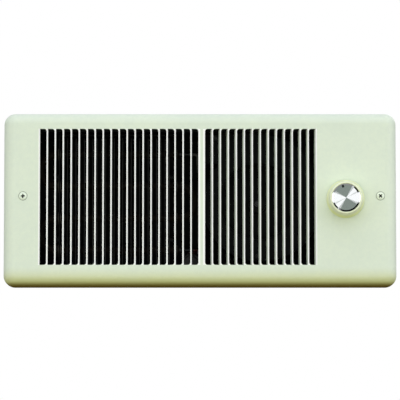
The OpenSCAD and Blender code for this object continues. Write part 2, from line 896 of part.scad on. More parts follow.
module motor_stack() {
    color("#5d6063") at_blower() difference() {
        along_y(stack_y, stack_back) difference() {
            translate([-stack_w / 2, stack_foot]) square([stack_w, stack_top - stack_foot]);
            circle(r = stack_bore_r);
            translate([-stack_w / 2 + limb, window_foot])
                square([stack_w - 2 * limb, window_top - window_foot]);
            for (x = [-bridge_x, bridge_x]) translate([x, 0])
                circle(r = motor_thread_r + hole_gap);
        }
        for (side = [-1, 1], z = [-1, 1])
            block([side * ring_x - ring_w / 2 - 0.1, stack_y - over, side * ring_z + z * 4 - 1.1],
                [side * ring_x + ring_w / 2 + 0.1, stack_back + over, side * ring_z + z * 4 + 1.1]);
    }
}

// Copper loops through the stack beside the bore, at opposite corners of the poles
module shading_rings() {
    color("#b06a3b") at_blower() for (side = [-1, 1]) difference() {
        block([side * ring_x - ring_w / 2, stack_y - 1.2, side * ring_z - 5],
            [side * ring_x + ring_w / 2, stack_back + 1.2, side * ring_z + 5]);
        block([side * ring_x - ring_w, stack_y - 0.1, side * ring_z - 3],
            [side * ring_x + ring_w, stack_back + 0.1, side * ring_z + 3]);
    }
}

module motor_coil() {
    color("#8c4f2c") at_blower() difference() {
        block([-coil_half, stack_y - coil_over, coil_foot],
            [coil_half, stack_back + coil_over, coil_top]);
        block([-coil_half - over, stack_y - 0.3, stack_foot - 0.3],
            [coil_half + over, stack_back + 0.3, window_foot + 0.3]);
    }
}

// A bridge across the stack that carries a bearing; it stands out by dir
module bridge(y, dir) {
    y1 = y + dir * bridge_rise;
    y2 = y1 + dir * bridge_t;
    difference() {
        union() {
            for (x = [-bridge_x, bridge_x]) translate([x, 0, 0])
                rod_y(bridge_post_r, min(y, y1), max(y, y1));
            along_y(min(y1, y2), max(y1, y2)) {
                square([2 * bridge_x, 2 * bridge_post_r], center = true);
                for (x = [-bridge_x, bridge_x]) translate([x, 0]) circle(r = bridge_post_r);
            }
            rod_y(bearing_r + 2.5, min(y1 - dir * 2, y2), max(y1 - dir * 2, y2));
        }
        rod_y(bearing_r + press_gap, min(y, y2) - over, max(y, y2) + over);
        for (x = [-bridge_x, bridge_x]) translate([x, 0, 0])
            rod_y(motor_thread_r + hole_gap, min(y, y2) - over, max(y, y2) + over);
    }
}

module bearing(y) {
    at_blower() difference() {
        rod_y(bearing_r, y, y + bearing_len - 2);
        rod_y(shaft_r + running_gap, y - over, y + bearing_len + over);
    }
}

module front_bridge() {
    color("#c3c5c4") at_blower() bridge(stack_y, -1);
}

module rear_bridge() {
    color("#c3c5c4") at_blower() bridge(stack_back, 1);
}

module front_bearing() {
    color("#a98748") bearing(stack_y - bridge_rise - bridge_t);
}

module rear_bearing() {
    color("#a98748") bearing(stack_back + bridge_rise - 2);
}

motor_head_y = stack_back + bridge_rise + bridge_t;

module motor_screws() {
    color("#d9dadb") at_blower() for (x = [-bridge_x, bridge_x])
        translate([x, motor_head_y, 0]) rotate([90, 0, 0])
            pan_screw(
                motor_head_y - housing_back + 1.2, small_head_r, motor_head_h, motor_thread_r
            );
}

// ---- Chassis: a hat-shaped frame that carries blower and motor ----

chassis_half_z = in_z - 2.4;
spacer_r = 4;

module chassis() {
    x0 = duct_end + 1;
    x1 = scroll_right;
    color("#aaadae") difference() {
        union() {
            block([x0, chassis_y, -chassis_half_z], [x1, chassis_back, chassis_half_z]);
            for (z = [-chassis_half_z, chassis_half_z - foot_t])
                block([x0, chassis_y, z], [x1, back_y, z + foot_t]);
            for (p = chassis_feet)
                block([
                    p.x - chassis_foot_half, back_y - foot_t,
                    p.y > 0 ? p.y - foot_len / 2 : -chassis_half_z
                ], [
                    p.x + chassis_foot_half, back_y,
                    p.y > 0 ? chassis_half_z : p.y + foot_len / 2
                ]);
            at_blower() for (x = [-bridge_x, bridge_x]) translate([x, 0, 0])
                rod_y(spacer_r, chassis_y, stack_y - bridge_rise - bridge_t);
        }
        at_blower() {
            rod_y(bearing_r + 4, chassis_y - over, chassis_back + over);
            for (x = [-bridge_x, bridge_x]) translate([x, 0, 0])
                rod_y(motor_thread_r + hole_gap, chassis_y - over, stack_y);
        }
        along_y(back_y - foot_t - over, back_y + over) for (p = chassis_feet) translate(p)
            circle(r = small_thread_r + hole_gap);
    }
}

module chassis_screws() {
    color("#d9dadb") for (p = chassis_feet) translate([p.x, 0, p.y])
        wall_frame(back_y - foot_t) pan_screw(foot_t + box_t);
}

// ---- Control: bracket, thermostat, stem and knob ----

bracket_leaf = 32;
bracket_hole_in = 8;
bracket_hole_z = 14;
bracket_at = [
    for (z = [-1, 1]) [stat_front + bracket_leaf - bracket_hole_in, knob_z + z * bracket_hole_z]
];
bracket_half = stat_h / 2 + 2;

module bracket_holes(r) {
    for (p = bracket_at) translate(p) circle(r = r);
}

module control_bracket() {
    y = stat_front - control_t;
    color("#b4b7b8") difference() {
        union() {
            block([knob_x - stat_w / 2, y, knob_z - bracket_half],
                [in_x - seat, stat_front, knob_z + bracket_half]);
            block([in_x - seat - control_t, y, knob_z - bracket_half],
                [in_x - seat, stat_front + bracket_leaf, knob_z + bracket_half]);
        }
        translate([knob_x, 0, knob_z]) rod_y(bushing_r + 0.1, y - over, stat_front + over);
        along_x(in_x - 2 * control_t, in_x + over) bracket_holes(small_thread_r + hole_gap);
    }
}

module bracket_screws() {
    color("#d9dadb") for (p = bracket_at) translate([in_x - seat - control_t, p.x, p.y])
        rotate([0, 90, 0]) pan_screw(control_t + seat + box_t, 3, 1.8);
}

module at_knob() {
    translate([knob_x, 0, knob_z]) children();
}

module thermostat_case() {
    color("#3a322c") at_knob() difference() {
        along_y(stat_front, stat_back) rounded_rect(stat_w, stat_h, 2);
        rod_y(bushing_r + press_gap, stat_front - over, stat_front + 4);
        rod_y(stem_r + 0.4, stat_front, stat_front + stem_in + 2);
    }
}

module thermostat_bushing() {
    color("#c9a24a") at_knob() difference() {
        rod_y(bushing_r, stat_front - 6, stat_front + 4);
        rod_y(stem_r + running_gap, stat_front - 7, stat_front + 5);
    }
}

module thermostat_nut() {
    color("#cfd1d2") at_knob() wall_frame(stat_front - control_t - 2.4) difference() {
        cylinder(r = 7.6, h = 2.4, $fn = 6);
        translate([0, 0, -over]) cylinder(r = bushing_r + 0.1, h = 5);
    }
}

// The stem's end has a flat, so that the knob goes on one way round
module stem_flat(from_y, to_y, grow) {
    rotate([0, pointer_angle, 0])
        block([-stem_d, from_y, stem_r * 0.5 + grow], [stem_d, to_y, 2 * stem_d]);
}

module thermostat_stem() {
    color("#c8cacc") at_knob() difference() {
        rod_y(stem_r, shaft_end_y, stat_front + stem_in);
        stem_flat(shaft_end_y - over, face_y + 2, 0);
    }
}

module thermostat_blades() {
    color("#c9a24a") at_knob()
        for (x = [-stat_blade_x, stat_blade_x], z = [-stat_blade_z, stat_blade_z])
            block([x - 2.4, stat_back, z - 0.4], [x + 2.4, stat_back + blade_len, z + 0.4]);
}

module control_knob() {
    base_r = knob_base_d / 2;
    rim_r = knob_front_d / 2;
    seat_r = insert_d / 2 + 0.05;
    floor_h = knob_len - insert_t - 0.3;
    color("#ebefd6") at_knob() translate([0, knob_base, 0]) rotate([90, 0, 0]) difference() {
        union() {
            rotate_extrude() polygon([
                [base_r - knob_wall, 0], [base_r - 0.4, 0], [base_r, 0.4], [base_r, 1.6],
                [base_r - 0.7, 2.6], [rim_r + 0.9, knob_len * 0.72], [rim_r + 0.2, knob_len - 1.1],
                [rim_r - 0.5, knob_len - 0.2], [rim_r - 0.9, knob_len], [seat_r, knob_len],
                [seat_r, floor_h], [0, floor_h], [0, floor_h - knob_wall],
                [rim_r - knob_wall, floor_h - knob_wall]
            ]);
            cylinder(r = 6.4, h = floor_h - 1);
        }
        rotate([-90, 0, 0]) translate([0, -knob_base, 0]) difference() {
            rod_y(stem_r + press_gap, shaft_end_y - 0.5, knob_base + over);
            stem_flat(shaft_end_y - over, knob_base + 2 * over, press_gap);
        }
    }
}

module knob_insert() {
    color("#e4e6e6") at_knob() translate([0, knob_base - knob_len + 0.3 + insert_t, 0])
        rotate([90, 0, 0]) difference() {
            cylinder(r = insert_d / 2, h = insert_t);
            rotate(-pointer_angle) translate([-0.7, insert_d / 2 - 3.6, insert_t - 0.4])
                cube([1.4, 2.6, over]);
        }
}

// ---- Terminals and leads ----

module terminal_block() {
    color("#e9e4d6") difference() {
        block([knob_x - block_w / 2, block_y, block_top - block_h],
            [knob_x + block_w / 2, back_y, block_top]);
        for (x = [-stat_blade_x, 0, stat_blade_x])
            translate([knob_x + x, 0, block_top - block_h / 2]) rod_y(3.2, block_y - over, block_y + 6);
    }
}

module terminal_screws() {
    color("#c9a24a") for (x = [-stat_blade_x, 0, stat_blade_x])
        translate([knob_x + x, 0, block_top - block_h / 2]) wall_frame(block_y + 4)
            pan_screw(2, 2.8, 1.8);
}

module ground_screw() {
    color("#4f9a5c") translate([ground_at.x, 0, ground_at.y]) wall_frame(back_y)
        pan_screw(box_t, 4, ground_head_h);
}

module lead_line() {
    color("#2a2a2c") lead([
        [right_x, lead_row_y, block_top], [right_x, lead_row_y, high_blade_z],
        [right_x, stat_lead_y, high_blade_z]
    ]);
}

module lead_load() {
    color("#a83a30") lead([
        [right_x, stat_lead_y, low_blade_z], [right_x, lead_load_y, low_blade_z],
        [right_x, lead_load_y, lead_low_z], [limit_x + blade_x, lead_load_y, lead_low_z],
        [limit_x + blade_x, limit_lead_y, lead_low_z]
    ]);
}

module lead_element() {
    y = limit_lead_y + 4;
    color("#a83a30") lead([
        [limit_x - blade_x, limit_lead_y, limit_z], [limit_x - blade_x, y, limit_z],
        [limit_x - blade_x, y, pass_z[0]], [lead_in_x, y, pass_z[0]],
        [lead_in_x, element_y, pass_z[0]], [pin_end, element_y, pass_z[0]]
    ]);
}

module lead_neutral() {
    top = pass_z[passes - 1];
    color("#dcdcd6") lead([
        [pin_end, element_y, top], [lead_in_x, element_y, top],
        [lead_in_x, element_y, lead_high_z], [lead_in_x, lead_far_y, lead_high_z],
        [left_x, lead_far_y, lead_high_z], [left_x, lead_far_y, lead_drop_z],
        [left_x, lead_row_y, lead_drop_z], [left_x, lead_row_y, block_top]
    ]);
}

module lead_motor() {
    y = coil_lead_y;
    color("#2a2a2c") lead([
        [coil_side_x, y, coil_lead_z], [left_x, y, coil_lead_z], [left_x, y, low_blade_z],
        [left_x, stat_lead_y, low_blade_z]
    ]);
}

module lead_motor_return() {
    color("#dcdcd6") lead([
        [coil_side_x, lead_row_y - 2, stack_foot - 4],
        [knob_x - block_w / 2, lead_row_y - 2, stack_foot - 4]
    ]);
}

module lead_ground() {
    color("#3f8a4c") lead([
        [knob_x, lead_row_y, block_top], [knob_x, lead_row_y, ground_at.y],
        [knob_x, back_y - ground_head_h, ground_at.y]
    ]);
}

front_cover();
cover_screws();
ear_nuts();
back_box();
entry_plate();
entry_screws();
cable_bushing();
partition();
partition_screws();
element_frame();
frame_screws();
heating_element();
element_fins();
element_eyelets();
element_pins();
limit_bracket();
limit_switch();
limit_blades();
chassis();
chassis_screws();
blower_housing();
inlet_plate();
inlet_screws();
blower_wheel();
wheel_set_screw();
motor_shaft();
motor_rotor();
motor_stack();
shading_rings();
motor_coil();
front_bridge();
rear_bridge();
front_bearing();
rear_bearing();
motor_screws();
control_bracket();
bracket_screws();
thermostat_case();
thermostat_bushing();
thermostat_nut();
thermostat_stem();
thermostat_blades();
control_knob();
knob_insert();
terminal_block();
terminal_screws();
ground_screw();
lead_line();
lead_load();
lead_element();
lead_neutral();
lead_motor();
lead_motor_return();
lead_ground();
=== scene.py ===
"""Dresses the recessed wall heater: enamelled cover, knob, screws, finishes, lamps and camera."""

import json
import math

import bmesh
import bpy
from mathutils import Matrix, Vector


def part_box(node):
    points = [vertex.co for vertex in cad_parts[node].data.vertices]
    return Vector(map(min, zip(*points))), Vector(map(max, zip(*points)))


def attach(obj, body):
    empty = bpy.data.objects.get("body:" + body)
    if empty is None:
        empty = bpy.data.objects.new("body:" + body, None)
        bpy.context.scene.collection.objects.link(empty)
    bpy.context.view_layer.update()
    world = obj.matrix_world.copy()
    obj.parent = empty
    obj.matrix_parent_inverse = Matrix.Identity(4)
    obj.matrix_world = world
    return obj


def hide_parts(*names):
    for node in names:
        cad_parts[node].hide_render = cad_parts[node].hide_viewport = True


bl_info = {
    "name": "Recessed wall heater",
    "version": (1, 0, 0),
    "blender": (4, 5, 0),
    "location": "3D View > Sidebar > Heater",
    "description": "Builds the cover, knob, screws and finishes of a recessed wall heater",
    "category": "Object",
}

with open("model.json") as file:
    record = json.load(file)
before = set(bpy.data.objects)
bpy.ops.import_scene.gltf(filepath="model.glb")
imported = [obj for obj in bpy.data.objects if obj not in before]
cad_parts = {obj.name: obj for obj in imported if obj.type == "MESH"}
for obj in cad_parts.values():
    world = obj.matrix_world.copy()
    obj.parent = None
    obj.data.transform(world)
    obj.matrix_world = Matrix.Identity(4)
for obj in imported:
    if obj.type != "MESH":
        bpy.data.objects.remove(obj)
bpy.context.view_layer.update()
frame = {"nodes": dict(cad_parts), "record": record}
COLOURS = {m["slot"]: m["base_color"] for m in frame["record"]["materials"]}
COVER_LOW, COVER_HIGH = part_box("front_cover")
KNOB_LOW, KNOB_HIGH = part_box("control_knob")
DISC_LOW, DISC_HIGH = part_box("knob_insert")
SCREWS_LOW, SCREWS_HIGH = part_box("cover_screws")
FLANGE_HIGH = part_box("back_box")[1]

MM = 0.001
BACK_CORNERS = [
    v.co for v in frame["nodes"]["back_box"].data.vertices if v.co.y > FLANGE_HIGH.y - 0.1 * MM
]
BOX_LOW = Vector(min(c[i] for c in BACK_CORNERS) for i in range(3))
BOX_HIGH = Vector(max(c[i] for c in BACK_CORNERS) for i in range(3))
TOWARDS_ROOM = Matrix.Rotation(math.radians(90), 4, "X")
FOLD_STEPS = 5
ROLL_STEPS = 12
SLOT_STEPS = 6
RING_STEPS = 40
LATHE_STEPS = 96

# Heights above the cover's lower rim up to which its enamel turns yellower and dirtier and is
# darkened as painted shade of the lower roll
YELLOWED_AND_SHADED_TO = 22 * MM
SOILED_AND_SHADED_TO = 6.4 * MM
SHADOW_TONE = (0.09, 0.12, 0.08)
COOL_LIGHT = (1.0, 1.0, 1.14)
WARM_LIGHT = (0.99, 0.99, 0.8)


# ---- Sizes and colours a user would change ----


class CoverSizes(bpy.types.PropertyGroup):
    sheet: bpy.props.FloatProperty(
        name="Sheet", description="Thickness of the cover's sheet", default=0.9 * MM, unit="LENGTH"
    )
    roll: bpy.props.FloatProperty(
        name="Rolled edge", description="Radius of the rolled edge", default=11.2 * MM,
        unit="LENGTH",
    )
    corner: bpy.props.FloatProperty(
        name="Corner", description="Radius of the corners, from the front", default=11.8 * MM,
        unit="LENGTH",
    )
    outlet_slots: bpy.props.IntProperty(
        name="Outlet louvres", description="Louvres on the left", default=20, min=1
    )
    inlet_slots: bpy.props.IntProperty(
        name="Inlet louvres", description="Louvres on the right", default=14, min=1
    )
    pitch: bpy.props.FloatProperty(
        name="Pitch", description="From one louvre to the next", default=8.4 * MM, unit="LENGTH"
    )
    bar: bpy.props.FloatProperty(
        name="Bar", description="Width of the bar between two louvres", default=1.5 * MM,
        unit="LENGTH",
    )
    slot_height: bpy.props.FloatProperty(
        name="Louvre height", description="Height of each louvre", default=143.4 * MM,
        unit="LENGTH",
    )
    rise: bpy.props.FloatProperty(
        name="Grille rise", description="Height of the grille's middle above the cover's middle",
        default=3 * MM, unit="LENGTH",
    )
    post: bpy.props.FloatProperty(
        name="Post", description="Width of the plain post", default=7 * MM, unit="LENGTH"
    )
    post_at: bpy.props.FloatProperty(
        name="Post place", description="From the cover's middle to the post's", default=1.8 * MM,
        unit="LENGTH",
    )
    slot_round: bpy.props.FloatProperty(
        name="Louvre corner", description="Radius of a louvre's round corners", default=2.8 * MM,
        unit="LENGTH",
    )
    fold: bpy.props.FloatProperty(
        name="Fold", description="Outer radius of a louvre's fold", default=1 * MM, unit="LENGTH"
    )
    outlet_bend: bpy.props.FloatProperty(
        name="Outlet bend", description="How far the left louvres are folded in",
        default=math.radians(92), subtype="ANGLE",
    )
    inlet_bend: bpy.props.FloatProperty(
        name="Inlet bend", description="How far the right louvres are folded in",
        default=math.radians(77), subtype="ANGLE",
    )
    tab: bpy.props.FloatProperty(
        name="Tab", description="Straight length of a folded louvre", default=5.6 * MM,
        unit="LENGTH",
    )
    dimple: bpy.props.FloatProperty(
        name="Dimple", description="Outer radius of a screw dimple", default=4.9 * MM,
        unit="LENGTH",
    )
    dimple_hole: bpy.props.FloatProperty(
        name="Dimple hole", description="Radius of the screw hole", default=2.5 * MM,
        unit="LENGTH",
    )
    knob_hole: bpy.props.FloatProperty(
        name="Knob hole", description="Radius of the hole behind the knob", default=7 * MM,
        unit="LENGTH",
    )


class KnobSizes(bpy.types.PropertyGroup):
    rim: bpy.props.FloatProperty(
        name="Rim", description="Radius of the knob's front rim", default=16.5 * MM, unit="LENGTH"
    )
    wall: bpy.props.FloatProperty(
        name="Wall", description="Thickness of the knob's wall", default=2.2 * MM, unit="LENGTH"
    )
    groove: bpy.props.FloatProperty(
        name="Groove", description="Distance from one turned groove to the next",
        default=0.5 * MM, unit="LENGTH",
    )
    groove_slope: bpy.props.FloatProperty(
        name="Groove slope", description="Slope of the grooves' sides",
        default=math.radians(15), subtype="ANGLE",
    )
    pointer: bpy.props.FloatProperty(
        name="Pointer", description="Where the pointer stands, clockwise from the top",
        default=math.radians(-16), subtype="ANGLE",
    )


def colour_of(label, slot):
    return bpy.props.FloatVectorProperty(
        name=label, description=f"Colour of the {label.lower()}", subtype="COLOR", size=3,
        min=0, max=1, default=COLOURS[slot],
    )


class HeaterColours(bpy.types.PropertyGroup):
    cover: colour_of("Cover enamel", "cover_enamel")
    knob: colour_of("Knob", "knob_plastic")
    disc: colour_of("Knob disc", "knob_disc")
    sheet_metal: colour_of("Galvanised sheet", "galvanised")
    inside: colour_of("Blackened inside", "black_steel")


class StageSettings(bpy.types.PropertyGroup):
    distance: bpy.props.FloatProperty(
        name="Distance", description="From the camera to the cover", default=3.0, unit="LENGTH"
    )
    elevation: bpy.props.FloatProperty(
        name="Elevation", description="How far above the heater the camera stands, or below",
        default=math.radians(-5), subtype="ANGLE",
    )
    view_width: bpy.props.FloatProperty(
        name="View width", description="Width that the camera takes in at the cover",
        default=0.4215, unit="LENGTH",
    )
    key: bpy.props.FloatProperty(
        name="Key", description="Power of the lamp above", default=21, unit="POWER"
    )
    fill: bpy.props.FloatProperty(
        name="Fill", description="Power of the low lamp in front", default=28.8, unit="POWER"
    )
    side: bpy.props.FloatProperty(
        name="Sides", description="Power of the lamps at the sides", default=7.4, unit="POWER"
    )
    behind: bpy.props.FloatProperty(
        name="Behind", description="Power of the lamp behind", default=26, unit="POWER"
    )
    sky: bpy.props.FloatProperty(
        name="Sky", description="Strength of the light from all round", default=0.55, min=0
    )


# ---- Shader maths ----


class Wire:
    """A shader value: + - * / < and > on it add Math nodes."""

    def __init__(self, finish, socket):
        self.finish = finish
        self.socket = socket

    def _join(self, operation, first, second):
        return self.finish.add("ShaderNodeMath", {"operation": operation}, {0: first, 1: second})

    def __add__(self, other):
        return self._join("ADD", self, other)

    __radd__ = __add__

    def __sub__(self, other):
        return self._join("SUBTRACT", self, other)

    def __rsub__(self, other):
        return self._join("SUBTRACT", other, self)

    def __mul__(self, other):
        return self._join("MULTIPLY", self, other)

    __rmul__ = __mul__

    def __truediv__(self, other):
        return self._join("DIVIDE", self, other)

    def size(self):
        return self.finish.add("ShaderNodeMath", {"operation": "ABSOLUTE"}, {0: self})

    def root(self):
        return self.finish.add("ShaderNodeMath", {"operation": "SQRT"}, {0: self})

    def fold(self, span):
        """Distance to the nearest whole multiple of twice the span."""
        return self.finish.add("ShaderNodeMath", {"operation": "PINGPONG"}, {0: self, 1: span})

    def __gt__(self, other):
        return self._join("GREATER_THAN", self, other)

    def __lt__(self, other):
        return self._join("LESS_THAN", self, other)


class Finish:
    """A node tree in the making."""

    def __init__(self, name=None, tree=None):
        self.material = None
        if tree is None:
            self.material = bpy.data.materials.new(name)
            self.material.use_nodes = True
            tree = self.material.node_tree
        self.tree = tree
        self.tree.nodes.clear()

    def add(self, kind, settings=None, sockets=None, out=0):
        """Adds a node: its settings first, then the values or links of its sockets."""
        node = self.tree.nodes.new(kind)
        for key, value in (settings or {}).items():
            if key == "stops":
                ramp = node.color_ramp.elements
                while len(ramp) < len(value):
                    ramp.new(0.5)
                for stop, (place, shade) in zip(ramp, value):
                    stop.position = place
                    stop.color = (*shade, 1) if len(shade) == 3 else shade
            else:
                setattr(node, key, value)
        for key, value in (sockets or {}).items():
            if isinstance(value, Wire):
                self.tree.links.new(value.socket, node.inputs[key])
            elif hasattr(value, "__len__") and node.inputs[key].type == "RGBA":
                node.inputs[key].default_value = (*value[:3], 1)
            else:
                node.inputs[key].default_value = value
        return Wire(self, node.outputs[out]) if node.outputs else node

    def place(self):
        return self.add("ShaderNodeTexCoord", out="Object")

    def axis(self, name, at=None):
        return self.add("ShaderNodeSeparateXYZ", None, {0: at or self.place()}, out=name)

    def shifted(self, move, stretch):
        return self.add("ShaderNodeMapping", {"vector_type": "POINT"}, {
            "Vector": self.place(), "Location": move, "Scale": stretch,
        })

    def noise(self, grain, detail=2.0, rough=0.5):
        """Cloudy noise from 0 to 1 whose features are about grain metres wide."""
        return self.add("ShaderNodeTexNoise", {"normalize": True}, {
            "Vector": self.place(), "Scale": 1 / grain, "Detail": detail, "Roughness": rough,
        })

    def cells(self, grain, at):
        """Cells about grain metres wide, each with a colour of its own."""
        return self.add("ShaderNodeTexVoronoi", {"feature": "F1"}, {
            "Vector": at, "Scale": 1 / grain,
        }, out="Color")

    def rings(self, pitch, at, direction="X", shape="RINGS", wobble=0.0):
        """Turned or drawn lines: pitch metres from one to the next."""
        key = "rings_direction" if shape == "RINGS" else "bands_direction"
        return self.add("ShaderNodeTexWave", {"wave_type": shape, key: direction}, {
            "Vector": at, "Scale": math.pi / (10 * pitch), "Distortion": wobble, "Detail": 1.0,
        }, out="Fac")

    def spread(self, value, low, high, to_low=0.0, to_high=1.0):
        """Maps low..high smoothly to to_low..to_high."""
        return self.add("ShaderNodeMapRange", {"interpolation_type": "SMOOTHSTEP"}, {
            "Value": value, "From Min": low, "From Max": high, "To Min": to_low,
            "To Max": to_high,
        })

    def mix(self, share, first, second, how="MIX"):
        return self.add("ShaderNodeMix", {"data_type": "RGBA", "blend_type": how}, {
            0: share, 6: first, 7: second,
        }, out=2)

    def bump(self, height, depth, strength):
        return self.add("ShaderNodeBump", None, {
            "Height": height, "Distance": depth, "Strength": strength,
        })

    def close(self, base, rough, normal, **constants):
        """Ends the material: what varies is linked, what doesn't is set on the shader."""
        sockets = {"Base Color": base, "Roughness": rough, "Normal": normal}
        sockets.update({key.replace("_", " "): value for key, value in constants.items()})
        shader = self.add("ShaderNodeBsdfPrincipled", None, sockets)
        self.add("ShaderNodeOutputMaterial", None, {"Surface": shader})
        return self.material


def shade(colour, factor):
    return tuple(min(1.0, c * factor) for c in colour[:3])


def warmed(colour, red=1.0, green=1.0, blue=1.0):
    return (min(1.0, colour[0] * red), min(1.0, colour[1] * green), min(1.0, colour[2] * blue))


# ---- Finishes ----


def lower_edge_yellowing_and_shade(f, base, colour, cloud):
    """Yellows and dirties the cover's lower edge, and darkens it as painted shade. Gives the
    colour and how dirty and shaded it is.
    """
    z = f.axis("Z")
    yellowed_and_shaded = f.spread(z, COVER_LOW.z, COVER_LOW.z + YELLOWED_AND_SHADED_TO, 1.0, 0.0)
    base = f.mix(yellowed_and_shaded * (0.8 + 0.2 * cloud), base, warmed(colour, 0.76, 0.7, 0.28))
    # Painted shade: towards the rim the enamel turns nearly black-brown; the same band is made
    # duller too
    soiled_and_shaded = f.spread(z, COVER_LOW.z, COVER_LOW.z + SOILED_AND_SHADED_TO, 1.0, 0.0)
    return f.mix(soiled_and_shaded, base, warmed(colour, 0.2, 0.125, 0.004)), soiled_and_shaded


def grille_painted_light_and_shade(f, base, s):
    """Painted highlights on the folds beside the louvres, painted shade in the screw dimples, and
    the cover's back painted near black as shade.
    """
    x, y, z = (f.axis(a) for a in "XYZ")
    left, right = s.post_at - s.post / 2, s.post_at + s.post / 2
    first = left - s.pitch + s.bar / 2
    across = s.post + 2 * s.pitch - s.bar
    off = (x - first - (x > s.post_at) * across).fold(s.pitch / 2)
    level = (z - s.rise).size() < s.slot_height / 2
    # Painted highlight: the folds beside the louvres are painted nearly white
    fold = f.spread(off, s.bar * 0.6, s.bar * 1.1, 1.0, 0.0)
    fold = fold * (x > left - s.outlet_slots * s.pitch) * (x < right + s.inlet_slots * s.pitch)
    fold = fold * level * (y < COVER_LOW.y + 1.2 * s.fold)
    base = f.mix(fold, base, (0.95, 0.98, 0.94))
    # Painted shade in the gap between a screw's head and its dimple
    sunk = f.spread(y, COVER_LOW.y + 0.05 * MM, COVER_LOW.y + 0.3 * MM)
    dimple_edge = f.spread(from_screw(f), s.dimple, s.dimple - 0.2 * MM)
    base = f.mix(dimple_edge * sunk * 0.8, base, SHADOW_TONE)
    # Painted shade: faces turned to the back, short of the rear rim, are painted near black
    rear = f.axis("Y", f.add("ShaderNodeNewGeometry", out="True Normal"))
    deep = y < COVER_HIGH.y - 3 * MM
    return f.mix(f.spread(rear, 0.1, 0.4) * deep, base, (0.03, 0.033, 0.03))


def screw_painted_shade(f, base):
    """Paints shade: blackens a screw's recess and darkens the rim of its head."""
    out = from_screw(f)
    near = f.spread(out, 2.6 * MM, 2.9 * MM, 1.0, 0.0)
    crown = out * out * (0.5 / crown_radius()) + SCREWS_LOW.y
    sunk = f.spread(f.axis("Y") - crown, 0.05 * MM, 0.3 * MM) * near
    base = f.mix(sunk * 0.98, base, (0.004, 0.006, 0.004))
    return f.mix(f.spread(out, 3.8 * MM, 4.3 * MM) * 0.5, base, SHADOW_TONE)


def baked_enamel(name, colour, grille=None):
    """Satin stove enamel on the cover, or on its screws where no grille's sizes are given."""
    f = Finish(name)
    cloud = f.noise(60 * MM, 3.0, 0.6)
    peel = f.noise(1.9 * MM, 2.0, 0.55)
    speck = f.spread(f.noise(1.1 * MM, 1.0), 0.70, 0.76)
    mottle = f.noise(4 * MM, 3.0, 0.65)
    base = f.mix(
        f.spread(0.5 * cloud + 0.5 * mottle, 0.34, 0.66), shade(colour, 0.963),
        warmed(colour, 1.02, 1.01, 0.99),
    )
    base = f.mix(speck * 0.25, base, shade(colour, 0.72))
    rough = 0.36 + 0.12 * f.noise(9 * MM, 3.0)
    if grille is not None:
        base, soiled_and_shaded = lower_edge_yellowing_and_shade(f, base, colour, cloud)
        base = grille_painted_light_and_shade(f, base, grille)
        rough = rough + 0.4 * soiled_and_shaded
    else:
        base = screw_painted_shade(f, base)
    normal = f.bump(peel, 0.05 * MM, 0.7)
    return f.close(base, rough, normal, Specular_IOR_Level=0.22)


def spangled_zinc(name, colour, dark=None):
    """Hot-dip galvanised sheet: crystals of different brightness and a dull bloom."""
    f = Finish(name)
    drift = f.add("ShaderNodeTexNoise", None, {"Vector": f.place(), "Scale": 160.0}, out="Color")
    drift = f.add("ShaderNodeVectorMath", {"operation": "SCALE"}, {0: drift, "Scale": 6 * MM})
    warp = f.add("ShaderNodeVectorMath", {"operation": "ADD"}, {0: f.place(), 1: drift})
    crystal = f.add("ShaderNodeSeparateColor", None, {0: f.cells(9 * MM, warp)})
    grain = f.noise(0.8 * MM, 2.0, 0.6)
    bloom = f.noise(45 * MM, 4.0, 0.65)
    tone = 0.55 * crystal + 0.2 * grain + 0.25 * bloom
    base = f.mix(tone, shade(colour, 0.66), shade(colour, 1.12))
    rough = 0.34 + 0.24 * crystal + 0.08 * grain
    metal = 1.0
    if dark is not None:
        # Painted shade: the box's inside is painted near black
        low = BOX_LOW + Vector((1, 0, 1)) * 0.6 * MM
        high = BOX_HIGH - Vector((1, 1, 1)) * 0.6 * MM
        x, y, z = (f.axis(a) for a in "XYZ")
        # The painted shade reaches a little way over the flange's face
        over = (y < -0.5 * MM) * (4 * MM)
        inside = (x > low.x - over) * (x < high.x + over) * (z > low.z - over)
        inside = inside * (z < high.z + over) * (y < high.y)
        base = f.mix(inside, base, f.mix(grain, shade(dark, 0.25), shade(dark, 0.5)))
        rough = rough * (1 - inside) + inside * 0.62
        metal = 1 - inside
    normal = f.bump(crystal * 0.6 + grain * 0.4, 0.05 * MM, 0.35)
    return f.close(base, rough, normal, Metallic=metal, Specular_IOR_Level=0.12)


def plated(name, colour, rough=0.28, tint=None):
    """Bright plating or plain rolled metal with a fine grain and slight tarnish."""
    f = Finish(name)
    grain = f.noise(0.5 * MM, 3.0, 0.6)
    tarnish = f.spread(f.noise(5 * MM, 3.0, 0.6), 0.45, 0.75)
    base = f.mix(grain, shade(colour, 0.86), shade(colour, 1.05))
    base = f.mix(tarnish * 0.4, base, tint or shade(colour, 0.62))
    return f.close(
        base, rough + 0.18 * grain + 0.1 * tarnish, f.bump(grain, 0.02 * MM, 0.4), Metallic=1.0
    )


def ground_bar(name, colour):
    """Ground shafts: fine lines round the axis, which runs along Y."""
    f = Finish(name)
    lines = f.rings(0.22 * MM, f.place(), "Y", "BANDS", 0.4)
    grain = f.noise(0.6 * MM, 2.0)
    base = f.mix(lines * 0.5 + grain * 0.5, shade(colour, 0.78), colour)
    return f.close(base, 0.2 + 0.16 * grain, f.bump(lines, 0.01 * MM, 0.4), Metallic=1.0)


